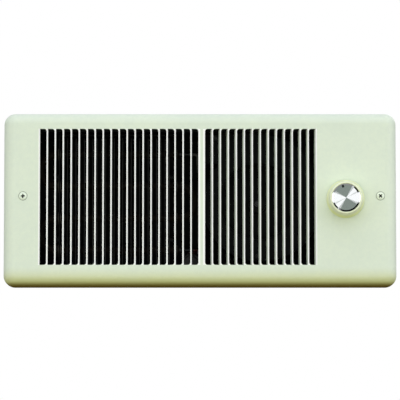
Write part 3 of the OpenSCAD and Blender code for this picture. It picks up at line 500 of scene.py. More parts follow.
def painted_steel(name, colour):
    """Black stoved paint with dust settled on it, painted far darker than the paint's own colour
    as shade behind the louvres.
    """
    f = Finish(name)
    grain = f.noise(1.2 * MM, 2.0, 0.55)
    dust = f.spread(f.noise(14 * MM, 4.0, 0.7), 0.5, 0.8)
    base = f.mix(grain, shade(colour, 0.1), shade(colour, 0.22))
    base = f.mix(dust * 0.2, base, (0.014, 0.013, 0.012))
    return f.close(
        base, 0.55 + 0.2 * dust, f.bump(grain, 0.03 * MM, 0.4), Specular_IOR_Level=0.08
    )


def laminated(name, colour):
    """A stack of stamped sheets, each 0.5 mm, with blued edges."""
    f = Finish(name)
    sheets = f.rings(0.5 * MM, f.place(), "Y", "BANDS")
    grain = f.noise(2.5 * MM, 3.0)
    base = f.mix(sheets, shade(colour, 0.45), colour)
    base = f.mix(f.spread(grain, 0.5, 0.7) * 0.4, base, (0.12, 0.08, 0.05))
    return f.close(base, 0.42 + 0.2 * grain, f.bump(sheets, 0.06 * MM, 0.7), Metallic=0.85)


def wound_wire(name, colour):
    """Enamelled wire laid side by side, turn on turn."""
    f = Finish(name)
    turns = f.rings(0.45 * MM, f.place(), "X", "BANDS", 0.3)
    varnish = f.noise(6 * MM, 3.0)
    base = f.mix(turns, shade(colour, 0.35), shade(colour, 1.3))
    base = f.mix(f.spread(varnish, 0.45, 0.7) * 0.4, base, shade(colour, 0.5))
    return f.close(
        base, 0.3 + 0.15 * varnish, f.bump(turns, 0.12 * MM, 0.8), Metallic=0.3, Coat_Weight=0.4
    )


def cast_metal(name, colour):
    f = Finish(name)
    skin = f.noise(0.9 * MM, 4.0, 0.65)
    base = f.mix(skin, shade(colour, 0.7), colour)
    return f.close(base, 0.4 + 0.2 * skin, f.bump(skin, 0.06 * MM, 0.6), Metallic=1.0)


def heated_sheath(name, colour):
    """Sheath of the element, browned and greyed by heat."""
    f = Finish(name)
    heat = f.noise(18 * MM, 3.0, 0.6)
    scale = f.noise(1.5 * MM, 4.0, 0.7)
    base = f.mix(heat, shade(colour, 0.3), warmed(shade(colour, 0.9), 1.1, 0.9, 0.75))
    base = f.mix(f.spread(scale, 0.55, 0.75) * 0.5, base, shade(colour, 1.1))
    return f.close(base, 0.6 + 0.2 * scale, f.bump(scale, 0.05 * MM, 0.6), Specular_IOR_Level=0.1)


def thin_fins(name, colour):
    """Fins, painted far darker than their metal's colour as shade behind the louvres, with dark
    lint.
    """
    f = Finish(name)
    grain = f.noise(0.7 * MM, 2.0)
    lint = f.spread(f.noise(3 * MM, 4.0, 0.7), 0.5, 0.8)
    base = f.mix(grain, shade(colour, 0.02), shade(colour, 0.05))
    base = f.mix(lint * 0.4, base, (0.01, 0.009, 0.008))
    return f.close(base, 0.6 + 0.2 * lint, f.bump(grain, 0.02 * MM, 0.5), Metallic=0.2)


def moulded(name, colour, rough, texture=0.03, gloss=0.5):
    """Moulded plastic or ceramic: fine texture, slight cloud in the tone."""
    f = Finish(name)
    skin = f.noise(0.7 * MM, 3.0, 0.6)
    cloud = f.noise(12 * MM, 3.0, 0.6)
    base = f.mix(f.spread(cloud, 0.3, 0.7), shade(colour, 0.93), shade(colour, 1.03))
    return f.close(
        base, rough + 0.1 * skin, f.bump(skin, texture * MM, 0.5), Specular_IOR_Level=gloss
    )


def knob_moulding(name, colour):
    """Knob: glossy cream plastic, yellowing towards its base and more so on its underside, partly
    the plastic's own and partly painted shade.
    """
    f = Finish(name)
    skin = f.noise(0.9 * MM, 3.0, 0.6)
    # Painted shade mixed with yellowing: yellower towards the base and the lower side
    knob_yellowing_and_shade = f.spread(f.axis("Y"), KNOB_HIGH.y - 17 * MM, KNOB_HIGH.y - 4 * MM)
    knob_yellowing_and_shade = knob_yellowing_and_shade * f.spread(f.axis("Z"), KNOB_LOW.z, (KNOB_LOW.z + KNOB_HIGH.z) / 2, 0.85, 0.4)
    base = f.mix(f.noise(8 * MM, 2.0), warmed(colour, 1.0, 1.04, 0.9), warmed(colour, 1.02, 1.05))
    base = f.mix(knob_yellowing_and_shade, base, warmed(colour, 0.93, 0.99, 0.5))
    return f.close(base, 0.26 + 0.1 * skin, f.bump(skin, 0.02 * MM, 0.4), Coat_Weight=0.3,
                   Coat_Roughness=0.12)


def spun_disc(name, colour):
    """Turned aluminium: the grooves are in the mesh, finer scratches round the axis here."""
    f = Finish(name)
    middle = (DISC_LOW + DISC_HIGH) / 2
    at = f.shifted((-middle.x, 0, -middle.z), (1, 0, 1))
    fine = f.rings(0.11 * MM, at, "Y", "RINGS", 0.3)
    grain = f.noise(0.5 * MM, 2.0)
    base = f.mix(fine * 0.6 + grain * 0.4, shade(colour, 0.86), shade(colour, 1.08))
    return f.close(base, 0.045 + 0.03 * fine, f.bump(fine, 0.001 * MM, 0.3), Metallic=1.0)


def insulation(name, colour):
    f = Finish(name)
    skin = f.noise(1.6 * MM, 2.0)
    base = f.mix(skin, shade(colour, 0.8), shade(colour, 1.05))
    return f.close(base, 0.4 + 0.15 * skin, f.bump(skin, 0.03 * MM, 0.4))


FINISH_OF_SLOT = {
    "zinc_plate": lambda c: plated("zinc_plate", c, 0.26, warmed(shade(c, 0.7), 1.1, 1.05, 0.8)),
    "black_steel": lambda c: painted_steel("black_steel", c),
    "lamination": lambda c: laminated("stacked_laminations", c),
    "shaft_steel": lambda c: ground_bar("ground_steel", c),
    "copper": lambda c: plated("copper", c, 0.3),
    "winding": lambda c: wound_wire("copper_winding", c),
    "bronze": lambda c: plated("sintered_bronze", c, 0.42),
    "brass": lambda c: plated("brass", c, 0.26),
    "die_cast": lambda c: cast_metal("die_cast", c),
    "element_sheath": lambda c: heated_sheath("heated_sheath", c),
    "fin_metal": lambda c: thin_fins("heated_fins", c),
    "eyelet_ceramic": lambda c: moulded("steatite", c, 0.6, 0.06, 0.3),
    "dark_phenolic": lambda c: moulded("phenolic", c, 0.36),
    "block_plastic": lambda c: moulded("cream_moulding", c, 0.45),
    "bushing_plastic": lambda c: moulded("black_nylon", c, 0.5),
    "lead_black": lambda c: insulation("black_insulation", c),
    "lead_red": lambda c: insulation("red_insulation", c),
    "lead_white": lambda c: insulation("white_insulation", c),
    "lead_green": lambda c: insulation("green_insulation", c),
    "ground_green": lambda c: plated("green_screw", c, 0.4),
}


# ---- Mesh helpers ----


def settle(bm):
    bmesh.ops.remove_doubles(bm, verts=bm.verts, dist=0.0005 * MM)
    bmesh.ops.recalc_face_normals(bm, faces=bm.faces)


def piece(name, bm, body, material, sharp=None):
    """Makes the mesh an object that rides the body and wears the given material."""
    mesh = bpy.data.meshes.new(name)
    bm.to_mesh(mesh)
    bm.free()
    mesh.materials.append(material)
    mesh.shade_smooth()
    if sharp is not None:
        mesh.set_sharp_from_angle(angle=math.radians(sharp))
    obj = bpy.data.objects.new(name, mesh)
    bpy.context.scene.collection.objects.link(obj)
    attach(obj, body)
    return obj


def soften(obj, width, limit=35):
    """Rounds the sharp edges and keeps flat faces flat in the light."""
    edge = obj.modifiers.new("rounded_edges", "BEVEL")
    edge.width = width
    edge.segments = 2
    edge.limit_method = "ANGLE"
    edge.angle_limit = math.radians(limit)
    edge.use_clamp_overlap = True
    edge.miter_outer = "MITER_ARC"
    flat = obj.modifiers.new("flat_faces", "WEIGHTED_NORMAL")
    flat.keep_sharp = True
    flat.weight = 60


def turned(bm, profile, at, steps=LATHE_STEPS):
    """Spins a profile of (radius, depth) points round the Y axis through a point."""
    verts = [bm.verts.new((r + at[0], y + at[1], at[2])) for r, y in profile]
    edges = [bm.edges.new(pair) for pair in zip(verts, verts[1:])]
    bmesh.ops.spin(
        bm, geom=verts + edges, cent=at, axis=(0, 1, 0), dvec=(0, 0, 0), angle=math.tau,
        steps=steps, use_merge=True,
    )


def arc(centre, radius, start, end, steps):
    """Points of a profile on an arc, with angles in degrees from outwards to the back."""
    turn = [math.radians(start + (end - start) * i / steps) for i in range(steps + 1)]
    return [(centre[0] + radius * math.cos(a), centre[1] + radius * math.sin(a)) for a in turn]


def carve(obj, cutters):
    """Cuts the cutter meshes out of obj, then removes them."""
    for i, cutter in enumerate(cutters):
        tool_mesh = bpy.data.meshes.new(f"cutter_{i}")
        cutter.to_mesh(tool_mesh)
        cutter.free()
        tool = bpy.data.objects.new(f"cutter_{i}", tool_mesh)
        bpy.context.scene.collection.objects.link(tool)
        cut = obj.modifiers.new("cut", "BOOLEAN")
        cut.object = tool
        cut.operation = "DIFFERENCE"
        cut.solver = "EXACT"
        bpy.context.view_layer.update()
        graph = bpy.context.evaluated_depsgraph_get()
        made = bpy.data.meshes.new_from_object(obj.evaluated_get(graph))
        obj.modifiers.clear()
        old = obj.data
        made.name = old.name + "_cut"
        obj.data = made
        bpy.data.meshes.remove(old)
        bpy.data.objects.remove(tool)
        bpy.data.meshes.remove(tool_mesh)


# ---- Cover ----


def rolled_tray(bm, s):
    """The cover without its face: a tray with rolled edges. Gives the face's outline."""
    size = COVER_HIGH - COVER_LOW
    middle = (COVER_HIGH + COVER_LOW) / 2
    bmesh.ops.create_cube(
        bm, size=1.0, matrix=Matrix.Translation(middle) @ Matrix.Diagonal((*size, 1))
    )
    bm.normal_update()
    rear = [f for f in bm.faces if f.normal.y > 0.9]
    bmesh.ops.delete(bm, geom=rear, context="FACES_ONLY")
    along_y = [e for e in bm.edges if abs(e.verts[0].co.y - e.verts[1].co.y) > size.y / 2]
    bmesh.ops.bevel(
        bm, geom=along_y, offset=s.corner, offset_type="OFFSET", segments=ROLL_STEPS,
        profile=0.5, affect="EDGES", material=-1, clamp_overlap=False,
    )
    bm.normal_update()
    face = max((f for f in bm.faces if f.normal.y < -0.9), key=lambda f: f.calc_area())
    bmesh.ops.bevel(
        bm, geom=list(face.edges), offset=s.roll, offset_type="OFFSET", segments=ROLL_STEPS,
        profile=0.5, affect="EDGES", material=-1, clamp_overlap=False,
    )
    bm.normal_update()
    face = max((f for f in bm.faces if f.normal.y < -0.99), key=lambda f: f.calc_area())
    outline = list(face.edges)
    bmesh.ops.delete(bm, geom=[face], context="FACES_ONLY")
    return outline


def louvre(bm, s, hinge, side, bend):
    """One slot's outline and its folded tab. side is 1 where the hinge is on the left."""
    face_y = COVER_LOW.y
    root = hinge - side * s.fold
    far = hinge + side * (s.pitch - s.bar)
    width, middle = abs(far - root), (far + root) / 2
    at = Matrix.Translation((middle, face_y, s.rise)) @ TOWARDS_ROOM
    made = bmesh.ops.create_grid(
        bm, x_segments=1, y_segments=1, size=0.5,
        matrix=at @ Matrix.Diagonal((width, s.slot_height, 1, 1)),
    )
    far_corners = [v for v in made["verts"] if abs(v.co.x - far) < width / 4]
    root_corner = next(v for v in made["verts"] if v not in far_corners)
    bmesh.ops.bevel(
        bm, geom=far_corners, offset=s.slot_round, offset_type="OFFSET", segments=SLOT_STEPS,
        profile=0.5, affect="VERTICES", material=-1,
    )
    face = root_corner.link_faces[0]
    outline = list(face.edges)
    fold_edge = min(outline, key=lambda e: sum(abs(v.co.x - root) for v in e.verts))
    bmesh.ops.delete(bm, geom=[face], context="FACES_ONLY")
    spun = bmesh.ops.spin(
        bm, geom=[fold_edge, *fold_edge.verts], cent=(root, face_y + s.fold, 0),
        axis=(0, 0, 1), dvec=(0, 0, 0), angle=side * bend, steps=FOLD_STEPS, use_merge=False,
    )
    last = [g for g in spun["geom_last"] if isinstance(g, bmesh.types.BMEdge)]
    grown = bmesh.ops.extrude_edge_only(bm, edges=last)
    tip = [g for g in grown["geom"] if isinstance(g, bmesh.types.BMVert)]
    reach = Vector((side * math.cos(bend), math.sin(bend), 0)) * s.tab
    bmesh.ops.translate(bm, verts=tip, vec=reach)
    bmesh.ops.bevel(
        bm, geom=tip, offset=s.slot_round, offset_type="OFFSET", segments=SLOT_STEPS,
        profile=0.5, affect="VERTICES", material=-1,
    )
    return outline


def ring(bm, radius, x, z):
    at = Matrix.Translation((x, COVER_LOW.y, z)) @ TOWARDS_ROOM
    made = bmesh.ops.create_circle(
        bm, cap_ends=False, segments=RING_STEPS, radius=radius, matrix=at
    )
    return list({e for v in made["verts"] for e in v.link_edges})


def dimple(bm, s, x, z):
    """Countersunk dimple: a cone pressed into the sheet, with the screw hole at its foot."""
    outline = ring(bm, s.dimple, x, z)
    grown = bmesh.ops.extrude_edge_only(bm, edges=outline)
    foot = [g for g in grown["geom"] if isinstance(g, bmesh.types.BMVert)]
    small = s.dimple_hole / s.dimple
    centre = Matrix.Translation((-x, -COVER_LOW.y, -z))
    bmesh.ops.scale(bm, verts=foot, vec=(small, 1, small), space=centre)
    bmesh.ops.translate(bm, verts=foot, vec=(0, s.dimple - s.dimple_hole, 0))
    return outline


def screw_places():
    z = (SCREWS_LOW.z + SCREWS_HIGH.z) / 2
    radius = (SCREWS_HIGH.z - SCREWS_LOW.z) / 2
    return [(SCREWS_LOW.x + radius, z), (SCREWS_HIGH.x - radius, z)]


def from_screw(f):
    """Distance to the axis of the nearest cover screw, as a shader value."""
    (left, z), (right, _) = screw_places()
    x = f.axis("X")
    side = x - left - (x > 0) * (right - left)
    up = f.axis("Z") - z
    return (side * side + up * up).root()


def crown_radius():
    """Radius of the ball that a screw's crown is cut from."""
    head = (SCREWS_HIGH.z - SCREWS_LOW.z) / 2
    sag = COVER_LOW.y + 0.05 * MM - SCREWS_LOW.y
    return (head**2 + sag**2) / (2 * sag)


def knob_axis():
    middle = (KNOB_LOW + KNOB_HIGH) / 2
    return middle.x, middle.z


class HEATER_OT_cover(bpy.types.Operator):
    """Builds the enamelled cover with its rolled edges and folded louvres"""

    bl_idname = "heater.cover"
    bl_label = "Louvred cover"

    def execute(self, context):
        s = context.scene.heater_cover
        bm = bmesh.new()
        outlines = rolled_tray(bm, s)
        slot = s.pitch - s.bar
        left, right = s.post_at - s.post / 2, s.post_at + s.post / 2
        for i in range(s.outlet_slots):
            outlines += louvre(bm, s, left - slot - i * s.pitch, 1, s.outlet_bend)
        for i in range(s.inlet_slots):
            outlines += louvre(bm, s, right + slot + i * s.pitch, -1, s.inlet_bend)
        for x, z in screw_places():
            outlines += dimple(bm, s, x, z)
        outlines += ring(bm, s.knob_hole, *knob_axis())
        bmesh.ops.triangle_fill(
            bm, use_beauty=True, use_dissolve=False, edges=outlines, normal=(0, -1, 0)
        )
        settle(bm)
        bm.normal_update()
        front = max((f for f in bm.faces if abs(f.normal.y) > 0.99), key=lambda f: f.calc_area())
        if front.normal.y > 0:
            bmesh.ops.reverse_faces(bm, faces=bm.faces)
        enamel = baked_enamel("ivory_enamel", context.scene.heater_colours.cover, s)
        obj = piece("louvred_cover", bm, "heater", enamel)
        wall = obj.modifiers.new("sheet", "SOLIDIFY")
        wall.thickness = s.sheet
        wall.offset = -1
        wall.use_even_offset = True
        soften(obj, 0.22 * MM, 40)
        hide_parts("front_cover")
        return {"FINISHED"}


def screw_profile():
    """Crowned head, cone and thread of a cover screw, as (radius, depth) points."""
    head_r = (SCREWS_HIGH.z - SCREWS_LOW.z) / 2
    core_r, thread_r, tip_r = 1.75 * MM, 2.1 * MM, 1.35 * MM
    pitch, crest = 0.8 * MM, 0.1 * MM
    crown_y, tip_y = SCREWS_LOW.y, SCREWS_HIGH.y
    neck_y = COVER_LOW.y + 0.1 * MM + head_r - thread_r
    ball_r = crown_radius()
    half = math.degrees(math.asin(head_r / ball_r))
    crown = arc((0, crown_y + ball_r), ball_r, -90, -90 + half, 8)
    profile = [(0, crown_y), *crown[1:], (thread_r, neck_y)]
    for i in range(int((tip_y - pitch - neck_y) / pitch)):
        y = neck_y + i * pitch
        profile += [(thread_r, y + crest), (core_r, y + pitch / 2), (thread_r, y + pitch)]
    return [*profile, (tip_r, tip_y), (0, tip_y)]


def recess_cutter(x, z, turn):
    """One tapered arm of a screw's cross recess."""
    length, width, height, depth = 5.4 * MM, 1.5 * MM, 2.3 * MM, 0.7 * MM
    cutter = bmesh.new()
    bmesh.ops.create_cube(cutter, size=1.0, matrix=Matrix.Diagonal((length, height, width, 1)))
    deep = [v for v in cutter.verts if v.co.y > 0]
    bmesh.ops.scale(cutter, verts=deep, vec=(0.45, 1, 0.7))
    place = Matrix.Translation((x, SCREWS_LOW.y + depth, z))
    bmesh.ops.transform(
        cutter, verts=cutter.verts, matrix=place @ Matrix.Rotation(math.radians(turn), 4, "Y")
    )
    bmesh.ops.recalc_face_normals(cutter, faces=cutter.faces)
    return cutter


class HEATER_OT_screws(bpy.types.Operator):
    """Builds the oval-headed cover screws with their cross recesses"""

    bl_idname = "heater.screws"
    bl_label = "Cover screws"

    def execute(self, context):
        bm = bmesh.new()
        for x, z in screw_places():
            turned(bm, screw_profile(), (x, 0, z), 48)
        settle(bm)
        material = baked_enamel("screw_enamel", shade(context.scene.heater_colours.cover, 1.12))
        obj = piece("enamelled_screws", bm, "heater", material)
        carve(obj, [
            recess_cutter(x, z, turn + arm)
            for (x, z), turn in zip(screw_places(), (0, 45)) for arm in (0, 90)
        ])
        obj.data.shade_smooth()
        obj.data.set_sharp_from_angle(angle=math.radians(32))
        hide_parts("cover_screws")
        return {"FINISHED"}


# ---- Knob ----


DISC_R = (DISC_HIGH.x - DISC_LOW.x) / 2
DISC_TOP = KNOB_LOW.y + 0.06 * MM


def knob_profile(s):
    """The knob's hollow body with its hub, flared skirt, round lip and seat for the disc."""
    base_r = (KNOB_HIGH.x - KNOB_LOW.x) / 2
    base_y, front_y = KNOB_HIGH.y, KNOB_LOW.y
    seat_r, seat_y = DISC_R + 0.12 * MM, DISC_HIGH.y
    under_y = seat_y + s.wall
    hub_r, hub_y, bore_r = 6.4 * MM, base_y - 0.9 * MM, 3.02 * MM
    bore_y = under_y + 0.8 * MM
    lip, lip_y = 1.1 * MM, front_y + 0.5 * MM
    foot, bead, seat_edge = 0.5 * MM, 0.9 * MM, 0.25 * MM
    return [
        (0, bore_y), (bore_r, bore_y), (bore_r, hub_y), (hub_r, hub_y), (hub_r, under_y),
        (s.rim - s.wall - 0.4 * MM, under_y), (base_r - s.wall - 1 * MM, base_y),
        *arc((base_r - foot, base_y - foot), foot, 90, 0, 4),
        *arc((base_r - bead, base_y - 2.1 * MM), bead, 0, -60, 4),
        (base_r - 0.95 * MM, base_y - 3.4 * MM),
        (s.rim + 1.15 * MM, front_y + 5.6 * MM), (s.rim + 0.45 * MM, front_y + 2.2 * MM),
        *arc((s.rim - 0.75 * MM, lip_y + lip), lip, -8, -90, 8),
        *arc((seat_r + seat_edge, lip_y + seat_edge), seat_edge, -90, -180, 3),
        (seat_r, seat_y), (0, seat_y),
    ]


def disc_profile(s):
    """The disc: turned grooves out to a shoulder that bends from 16 to 36 degrees."""
    shoulder, first, last = 2.1 * MM, 16, 36
    flat_r = DISC_R - shoulder
    first_sin = math.sin(math.radians(first))
    shoulder_r = shoulder / (math.sin(math.radians(last)) - first_sin)
    centre = (
        flat_r - shoulder_r * first_sin, DISC_TOP + shoulder_r * math.cos(math.radians(first))
    )
    rings = int(flat_r / s.groove)
    height = s.groove / 2 * math.tan(s.groove_slope)
    grooves = [
        (i * flat_r / (rings * 2), DISC_TOP + (height if i % 2 == 0 else 0.0))
        for i in range(rings * 2 + 1)
    ]
    foot_y = DISC_HIGH.y - 0.02 * MM
    return [
        (0, foot_y), (DISC_R, foot_y), *arc(centre, shoulder_r, last - 90, first - 90, 10),
        *reversed(grooves),
    ]


def pointer_mesh(pointer, x, z):
    """A mark with round corners, raised a hair above the disc near its edge."""
    bm = bmesh.new()
    size = Matrix.Diagonal((2.4 * MM, 0.2 * MM, 2.8 * MM, 1))
    bmesh.ops.create_cube(bm, size=1.0, matrix=size)
    upright = [e for e in bm.edges if abs(e.verts[0].co.y - e.verts[1].co.y) > 0.1 * MM]
    bmesh.ops.bevel(
        bm, geom=upright, offset=0.7 * MM, offset_type="OFFSET", segments=4, profile=0.5,
        affect="EDGES", material=-1,
    )
    place = Matrix.Translation((x, DISC_TOP + 0.07 * MM, z)) @ Matrix.Rotation(pointer, 4, "Y")
    out = Matrix.Translation((0, 0, 12.4 * MM))
    bmesh.ops.transform(bm, verts=bm.verts, matrix=place @ out)
    bmesh.ops.recalc_face_normals(bm, faces=bm.faces)
    return bm


class HEATER_OT_knob(bpy.types.Operator):
    """Builds the moulded knob, its turned disc and the pointer mark"""

    bl_idname = "heater.knob"
    bl_label = "Control knob"

    def execute(self, context):
        s = context.scene.heater_knob
        colours = context.scene.heater_colours
        x, z = knob_axis()
        for name, profile, slot, material, sharp, node in (
            ("moulded_knob", knob_profile(s), "knob_plastic",
             knob_moulding("cream_knob", colours.knob), 38, "control_knob"),
            ("turned_disc", disc_profile(s), "knob_disc",
             spun_disc("turned_aluminium", colours.disc), 14, "knob_insert"),
        ):
            bm = bmesh.new()
            turned(bm, profile, (x, 0, z))
            settle(bm)
            obj = piece(name, bm, "knob", material, sharp)
            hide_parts(node)
        ink = moulded("pointer_paint", (0.006, 0.009, 0.008), 0.5, gloss=0.2)
        mark = pointer_mesh(s.pointer, x, z)
        pointer = piece("pointer_mark", mark, "knob", ink, sharp=40)
        soften(pointer, 0.04 * MM)
        return {"FINISHED"}


# ---- Wall box ----


def merged_copy(node):
    """A merged copy of a CAD node's mesh, with pairs of flat triangles joined."""
    bm = bmesh.new()
    bm.from_mesh(frame["nodes"][node].data)
    bmesh.ops.remove_doubles(bm, verts=bm.verts, dist=0.002 * MM)
    bmesh.ops.join_triangles(
        bm, faces=bm.faces, angle_face_threshold=math.radians(0.4),
        angle_shape_threshold=math.pi,
    )
    return bm


class HEATER_OT_wall_box(bpy.types.Operator):
    """Builds the galvanised wall box, its entry plate and nuts with rounded edges"""

    bl_idname = "heater.wall_box"
    bl_label = "Wall box"

    def execute(self, context):
        colours = context.scene.heater_colours
        zinc = spangled_zinc("galvanised_box", colours.sheet_metal, colours.inside)
        for name, node, slot, material, width in (
            ("folded_box", "back_box", "galvanised", zinc, 0.35),
            ("knockout_plate", "entry_plate", "galvanised",
             spangled_zinc("galvanised_plate", colours.sheet_metal), 0.2),
            ("flange_nuts", "ear_nuts", "zinc_plate",
             FINISH_OF_SLOT["zinc_plate"](COLOURS["zinc_plate"]), 0.25),
        ):
            obj = piece(name, merged_copy(node), "heater", material, sharp=30)
            soften(obj, width * MM, 40)
            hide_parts(node)
        return {"FINISHED"}


# ---- Finishes of the CAD nodes ----


class HEATER_OT_finishes(bpy.types.Operator):
    """Gives every CAD node that still shows its finish"""

    bl_idname = "heater.finishes"
    bl_label = "Finishes"

    def execute(self, context):
        colours = context.scene.heater_colours
        made = {}
        slots = {p["node"]: p["material_slot"] for p in frame["record"]["subparts"]}
        # Painted shade: these parts seen through the louvres are darkened to 7 % of their colour
        darkened_as_shade = {
            "inlet_screws", "chassis_screws", "motor_shaft", "wheel_set_screw", "element_pins",
            "element_eyelets", "frame_screws", "partition_screws", "heating_element",
            "limit_switch", "limit_blades", "lead_neutral", "lead_element", "front_bridge",
        }
        # Painted shade: these parts take the near-black paint instead of their own finish
        black_as_shade = {
            "partition", "element_frame", "blower_housing", "limit_bracket", "chassis",
            "inlet_plate", "blower_wheel", "control_bracket",
        }
        for node, obj in frame["nodes"].items():
            if obj.hide_render:
                continue
            slot = "black_steel" if node in black_as_shade else slots[node]
            key = (slot, node in darkened_as_shade)
            if key not in made:
                if slot == "galvanised":
                    made[key] = spangled_zinc("galvanised_inside", colours.sheet_metal)
                else:
                    made[key] = FINISH_OF_SLOT[slot](shade(COLOURS[slot], 0.07 if key[1] else 1))
            for i in range(len(obj.material_slots)):
                obj.material_slots[i].material = made[key]
        return {"FINISHED"}


# ---- Stage ----


def aim(obj, target):
    obj.rotation_euler = (Vector(target) - obj.location).to_track_quat("-Z", "Y").to_euler()


def softbox(name, at, size, power, colour=(1, 1, 1), glossy=False):
    """A rectangular lamp aimed at the heater; metal sees it only where glossy is set."""
    light = bpy.data.lights.new(name, "AREA")
    light.shape = "RECTANGLE"
    light.size, light.size_y = size
    light.energy = power
    light.color = colour
    lamp = bpy.data.objects.new(name, light)
    lamp.location = at
    lamp.visible_glossy = glossy
    lamp.visible_camera = False
    bpy.context.scene.collection.objects.link(lamp)
    aim(lamp, (0, 0, 0))


def studio_floor():
    """Pale to the camera, dark to the heater, and not seen in its metal."""
    bm = bmesh.new()
    bmesh.ops.create_grid(
        bm, x_segments=2, y_segments=2, size=7.0, matrix=Matrix.Translation((0, 0, -0.95))
    )
    mesh = bpy.data.meshes.new("studio_floor")
    bm.to_mesh(mesh)
    bm.free()
    f = Finish("pale_floor")
    seen = f.add("ShaderNodeLightPath", out="Is Camera Ray")
    pale = f.mix(f.noise(0.6, 2.0), (0.86, 0.86, 0.85), (0.9, 0.9, 0.89))
    matt = f.add("ShaderNodeBsdfPrincipled", None, {
        "Base Color": f.mix(seen, (0.13, 0.105, 0.046), pale), "Roughness": 0.8,
        "Emission Color": f.mix(seen, (0, 0, 0), (1, 1, 0.99)), "Emission Strength": 0.3,
    })
    # Open from below, so that the heater's underside can be looked at
    under = f.add("ShaderNodeNewGeometry", out="Backfacing")
    clear = f.add("ShaderNodeBsdfTransparent")
    both = f.add("ShaderNodeMixShader", None, {0: under, 1: matt, 2: clear})
    f.add("ShaderNodeOutputMaterial", None, {"Surface": both})
    mesh.materials.append(f.material)
    floor = bpy.data.objects.new("studio_floor", mesh)
    floor.visible_glossy = False
    bpy.context.scene.collection.objects.link(floor)


def compass(u, v, degrees):
    """How far (u, v) points towards an angle, counted clockwise from straight up."""
    turn = math.radians(degrees)
    return u * math.sin(turn) + v * math.cos(turn)


def studio_world(strength, tilt):
    """White to the camera; metal in front sees two pale screens with grey between them."""
    # Compass angles of the screens, the line across them, the dark foot and the dark arcs
    screens_at, line_at, foot_at, arcs_at = 74.5, 152, 155, 52
    world = bpy.data.worlds.new("studio")
    world.use_nodes = True
    f = Finish(tree=world.node_tree)
    way = f.add("ShaderNodeTexCoord", out="Generated")
    x, y, z = (f.axis(a, way) for a in "XYZ")
    seen = f.add("ShaderNodeLightPath", out="Is Camera Ray")
    shiny = f.add("ShaderNodeLightPath", out="Is Glossy Ray")
    through = f.add("ShaderNodeLightPath", out="Is Transmission Ray")
    # Up and right, square to the way in which a flat front sends the camera's view back
    up = z * math.cos(tilt) + y * math.sin(tilt)
    off = (x * x + up * up).root() + 0.001
    screens = f.spread((compass(x, up, screens_at) / off).size(), 0.71, 0.77, 0.36, 1.35)
    line = f.spread((compass(x, up, line_at) / off).size(), 0.02, 0.06, 0.5, 1.0)
    foot = f.spread(compass(x, up, foot_at) / off, 0.6, 0.75)
    arcs = f.spread((compass(x, up, arcs_at) / off).size(), 0.94, 0.98)
    edge = f.spread(off, 0.57, 0.63)
    panels = screens * line * (1 - edge * (foot + arcs) * 0.99)
    middle = f.spread(off, 0.1, 0.24, 0.85, 0.0)
    panels = panels + middle * (1 - panels)
    behind = f.spread(y, 0.05, 0.35)
    panels = panels * (1 - behind) + f.spread(z, -0.5, 0.8, 0.52, 1.15) * behind
    dull = f.spread(panels, 0.4, 0.9, 1.0, 0.0) * (1 - behind) * (1 - edge)
    tint = f.mix(dull, (1, 1, 1), (0.87, 1.0, 0.9))
    gloss = f.mix(1.0, tint, f.add("ShaderNodeCombineColor", None, {
        0: panels, 1: panels, 2: panels,
    }), "MULTIPLY")
    sky = f.add("ShaderNodeValToRGB", {"stops": [
        (0.0, (0.012, 0.008, 0.002)), (0.3, (0.08, 0.062, 0.026)), (0.45, (0.36, 0.36, 0.32)),
        (0.62, (1.08, 1.09, 1.2)), (1.0, (1.08, 1.09, 1.2)),
    ]}, {0: z * 0.5 + 0.5})
    lit = f.mix(1.0, sky, (strength,) * 3, "MULTIPLY")
    colour = f.mix(shiny + through, lit, gloss)
    colour = f.mix(seen, colour, (1, 1, 1))
    shine = f.add("ShaderNodeBackground", None, {"Color": colour, "Strength": 1.0})
    f.add("ShaderNodeOutputWorld", None, {"Surface": shine})
    bpy.context.scene.world = world


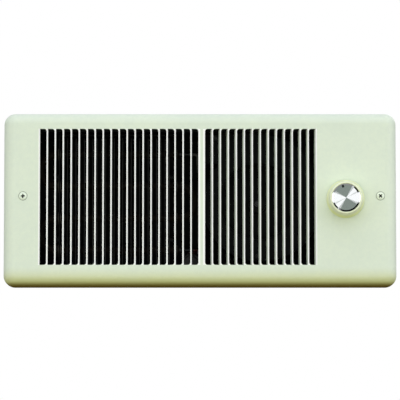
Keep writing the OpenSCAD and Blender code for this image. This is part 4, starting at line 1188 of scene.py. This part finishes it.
class HEATER_OT_stage(bpy.types.Operator):
    """Places the floor, the lamps, the world and the camera"""

    bl_idname = "heater.stage"
    bl_label = "Stage"

    def execute(self, context):
        s = context.scene.heater_stage
        studio_floor()
        studio_world(s.sky, -s.elevation)
        softbox("key", (0.35, -1.5, 2.05), (3.4, 2.2), s.key, COOL_LIGHT)
        softbox("fill", (-0.2, -2.65, -0.6), (2.2, 0.8), s.fill, WARM_LIGHT)
        softbox("right", (2.2, -0.9, 0.3), (0.8, 1.4), s.side * 1.45, COOL_LIGHT, glossy=True)
        softbox("left", (-1.9, -1.5, 0.3), (0.8, 1.4), s.side * 0.95, COOL_LIGHT, glossy=True)
        softbox("behind", (0.9, 2.2, 1.1), (2.0, 1.4), s.behind)

        camera = bpy.data.cameras.new("camera")
        camera.sensor_width = 36.0
        camera.lens = camera.sensor_width * s.distance / s.view_width
        eye = bpy.data.objects.new("camera", camera)
        target = Vector((0.0, COVER_LOW.y / 2, 0.0005))
        back = Vector((0, -math.cos(s.elevation), math.sin(s.elevation)))
        eye.location = target + back * s.distance
        context.scene.collection.objects.link(eye)
        aim(eye, target)
        context.scene.camera = eye
        context.scene.view_settings.view_transform = "Standard"
        return {"FINISHED"}


# ---- Panel and registration ----


STEPS = ("cover", "screws", "knob", "wall_box", "finishes", "stage")


class HEATER_PT_panel(bpy.types.Panel):
    bl_idname = "HEATER_PT_panel"
    bl_label = "Wall heater"
    bl_space_type = "VIEW_3D"
    bl_region_type = "UI"
    bl_category = "Heater"

    def draw(self, context):
        for group in ("heater_cover", "heater_knob", "heater_colours", "heater_stage"):
            settings = getattr(context.scene, group)
            box = self.layout.box()
            for name in settings.bl_rna.properties.keys():
                if name not in ("rna_type", "name"):
                    box.prop(settings, name)
        for step in STEPS:
            self.layout.operator(f"heater.{step}")


CLASSES = (
    CoverSizes, KnobSizes, HeaterColours, StageSettings, HEATER_OT_cover, HEATER_OT_screws,
    HEATER_OT_knob, HEATER_OT_wall_box, HEATER_OT_finishes, HEATER_OT_stage, HEATER_PT_panel,
)


def register():
    for cls in CLASSES:
        bpy.utils.register_class(cls)
    bpy.types.Scene.heater_cover = bpy.props.PointerProperty(type=CoverSizes)
    bpy.types.Scene.heater_knob = bpy.props.PointerProperty(type=KnobSizes)
    bpy.types.Scene.heater_colours = bpy.props.PointerProperty(type=HeaterColours)
    bpy.types.Scene.heater_stage = bpy.props.PointerProperty(type=StageSettings)


def unregister():
    for group in ("heater_cover", "heater_knob", "heater_colours", "heater_stage"):
        delattr(bpy.types.Scene, group)
    for cls in reversed(CLASSES):
        bpy.utils.unregister_class(cls)


def main():
    register()
    for step in STEPS:
        getattr(bpy.ops.heater, step)()


if __name__ == "__main__":
    main()
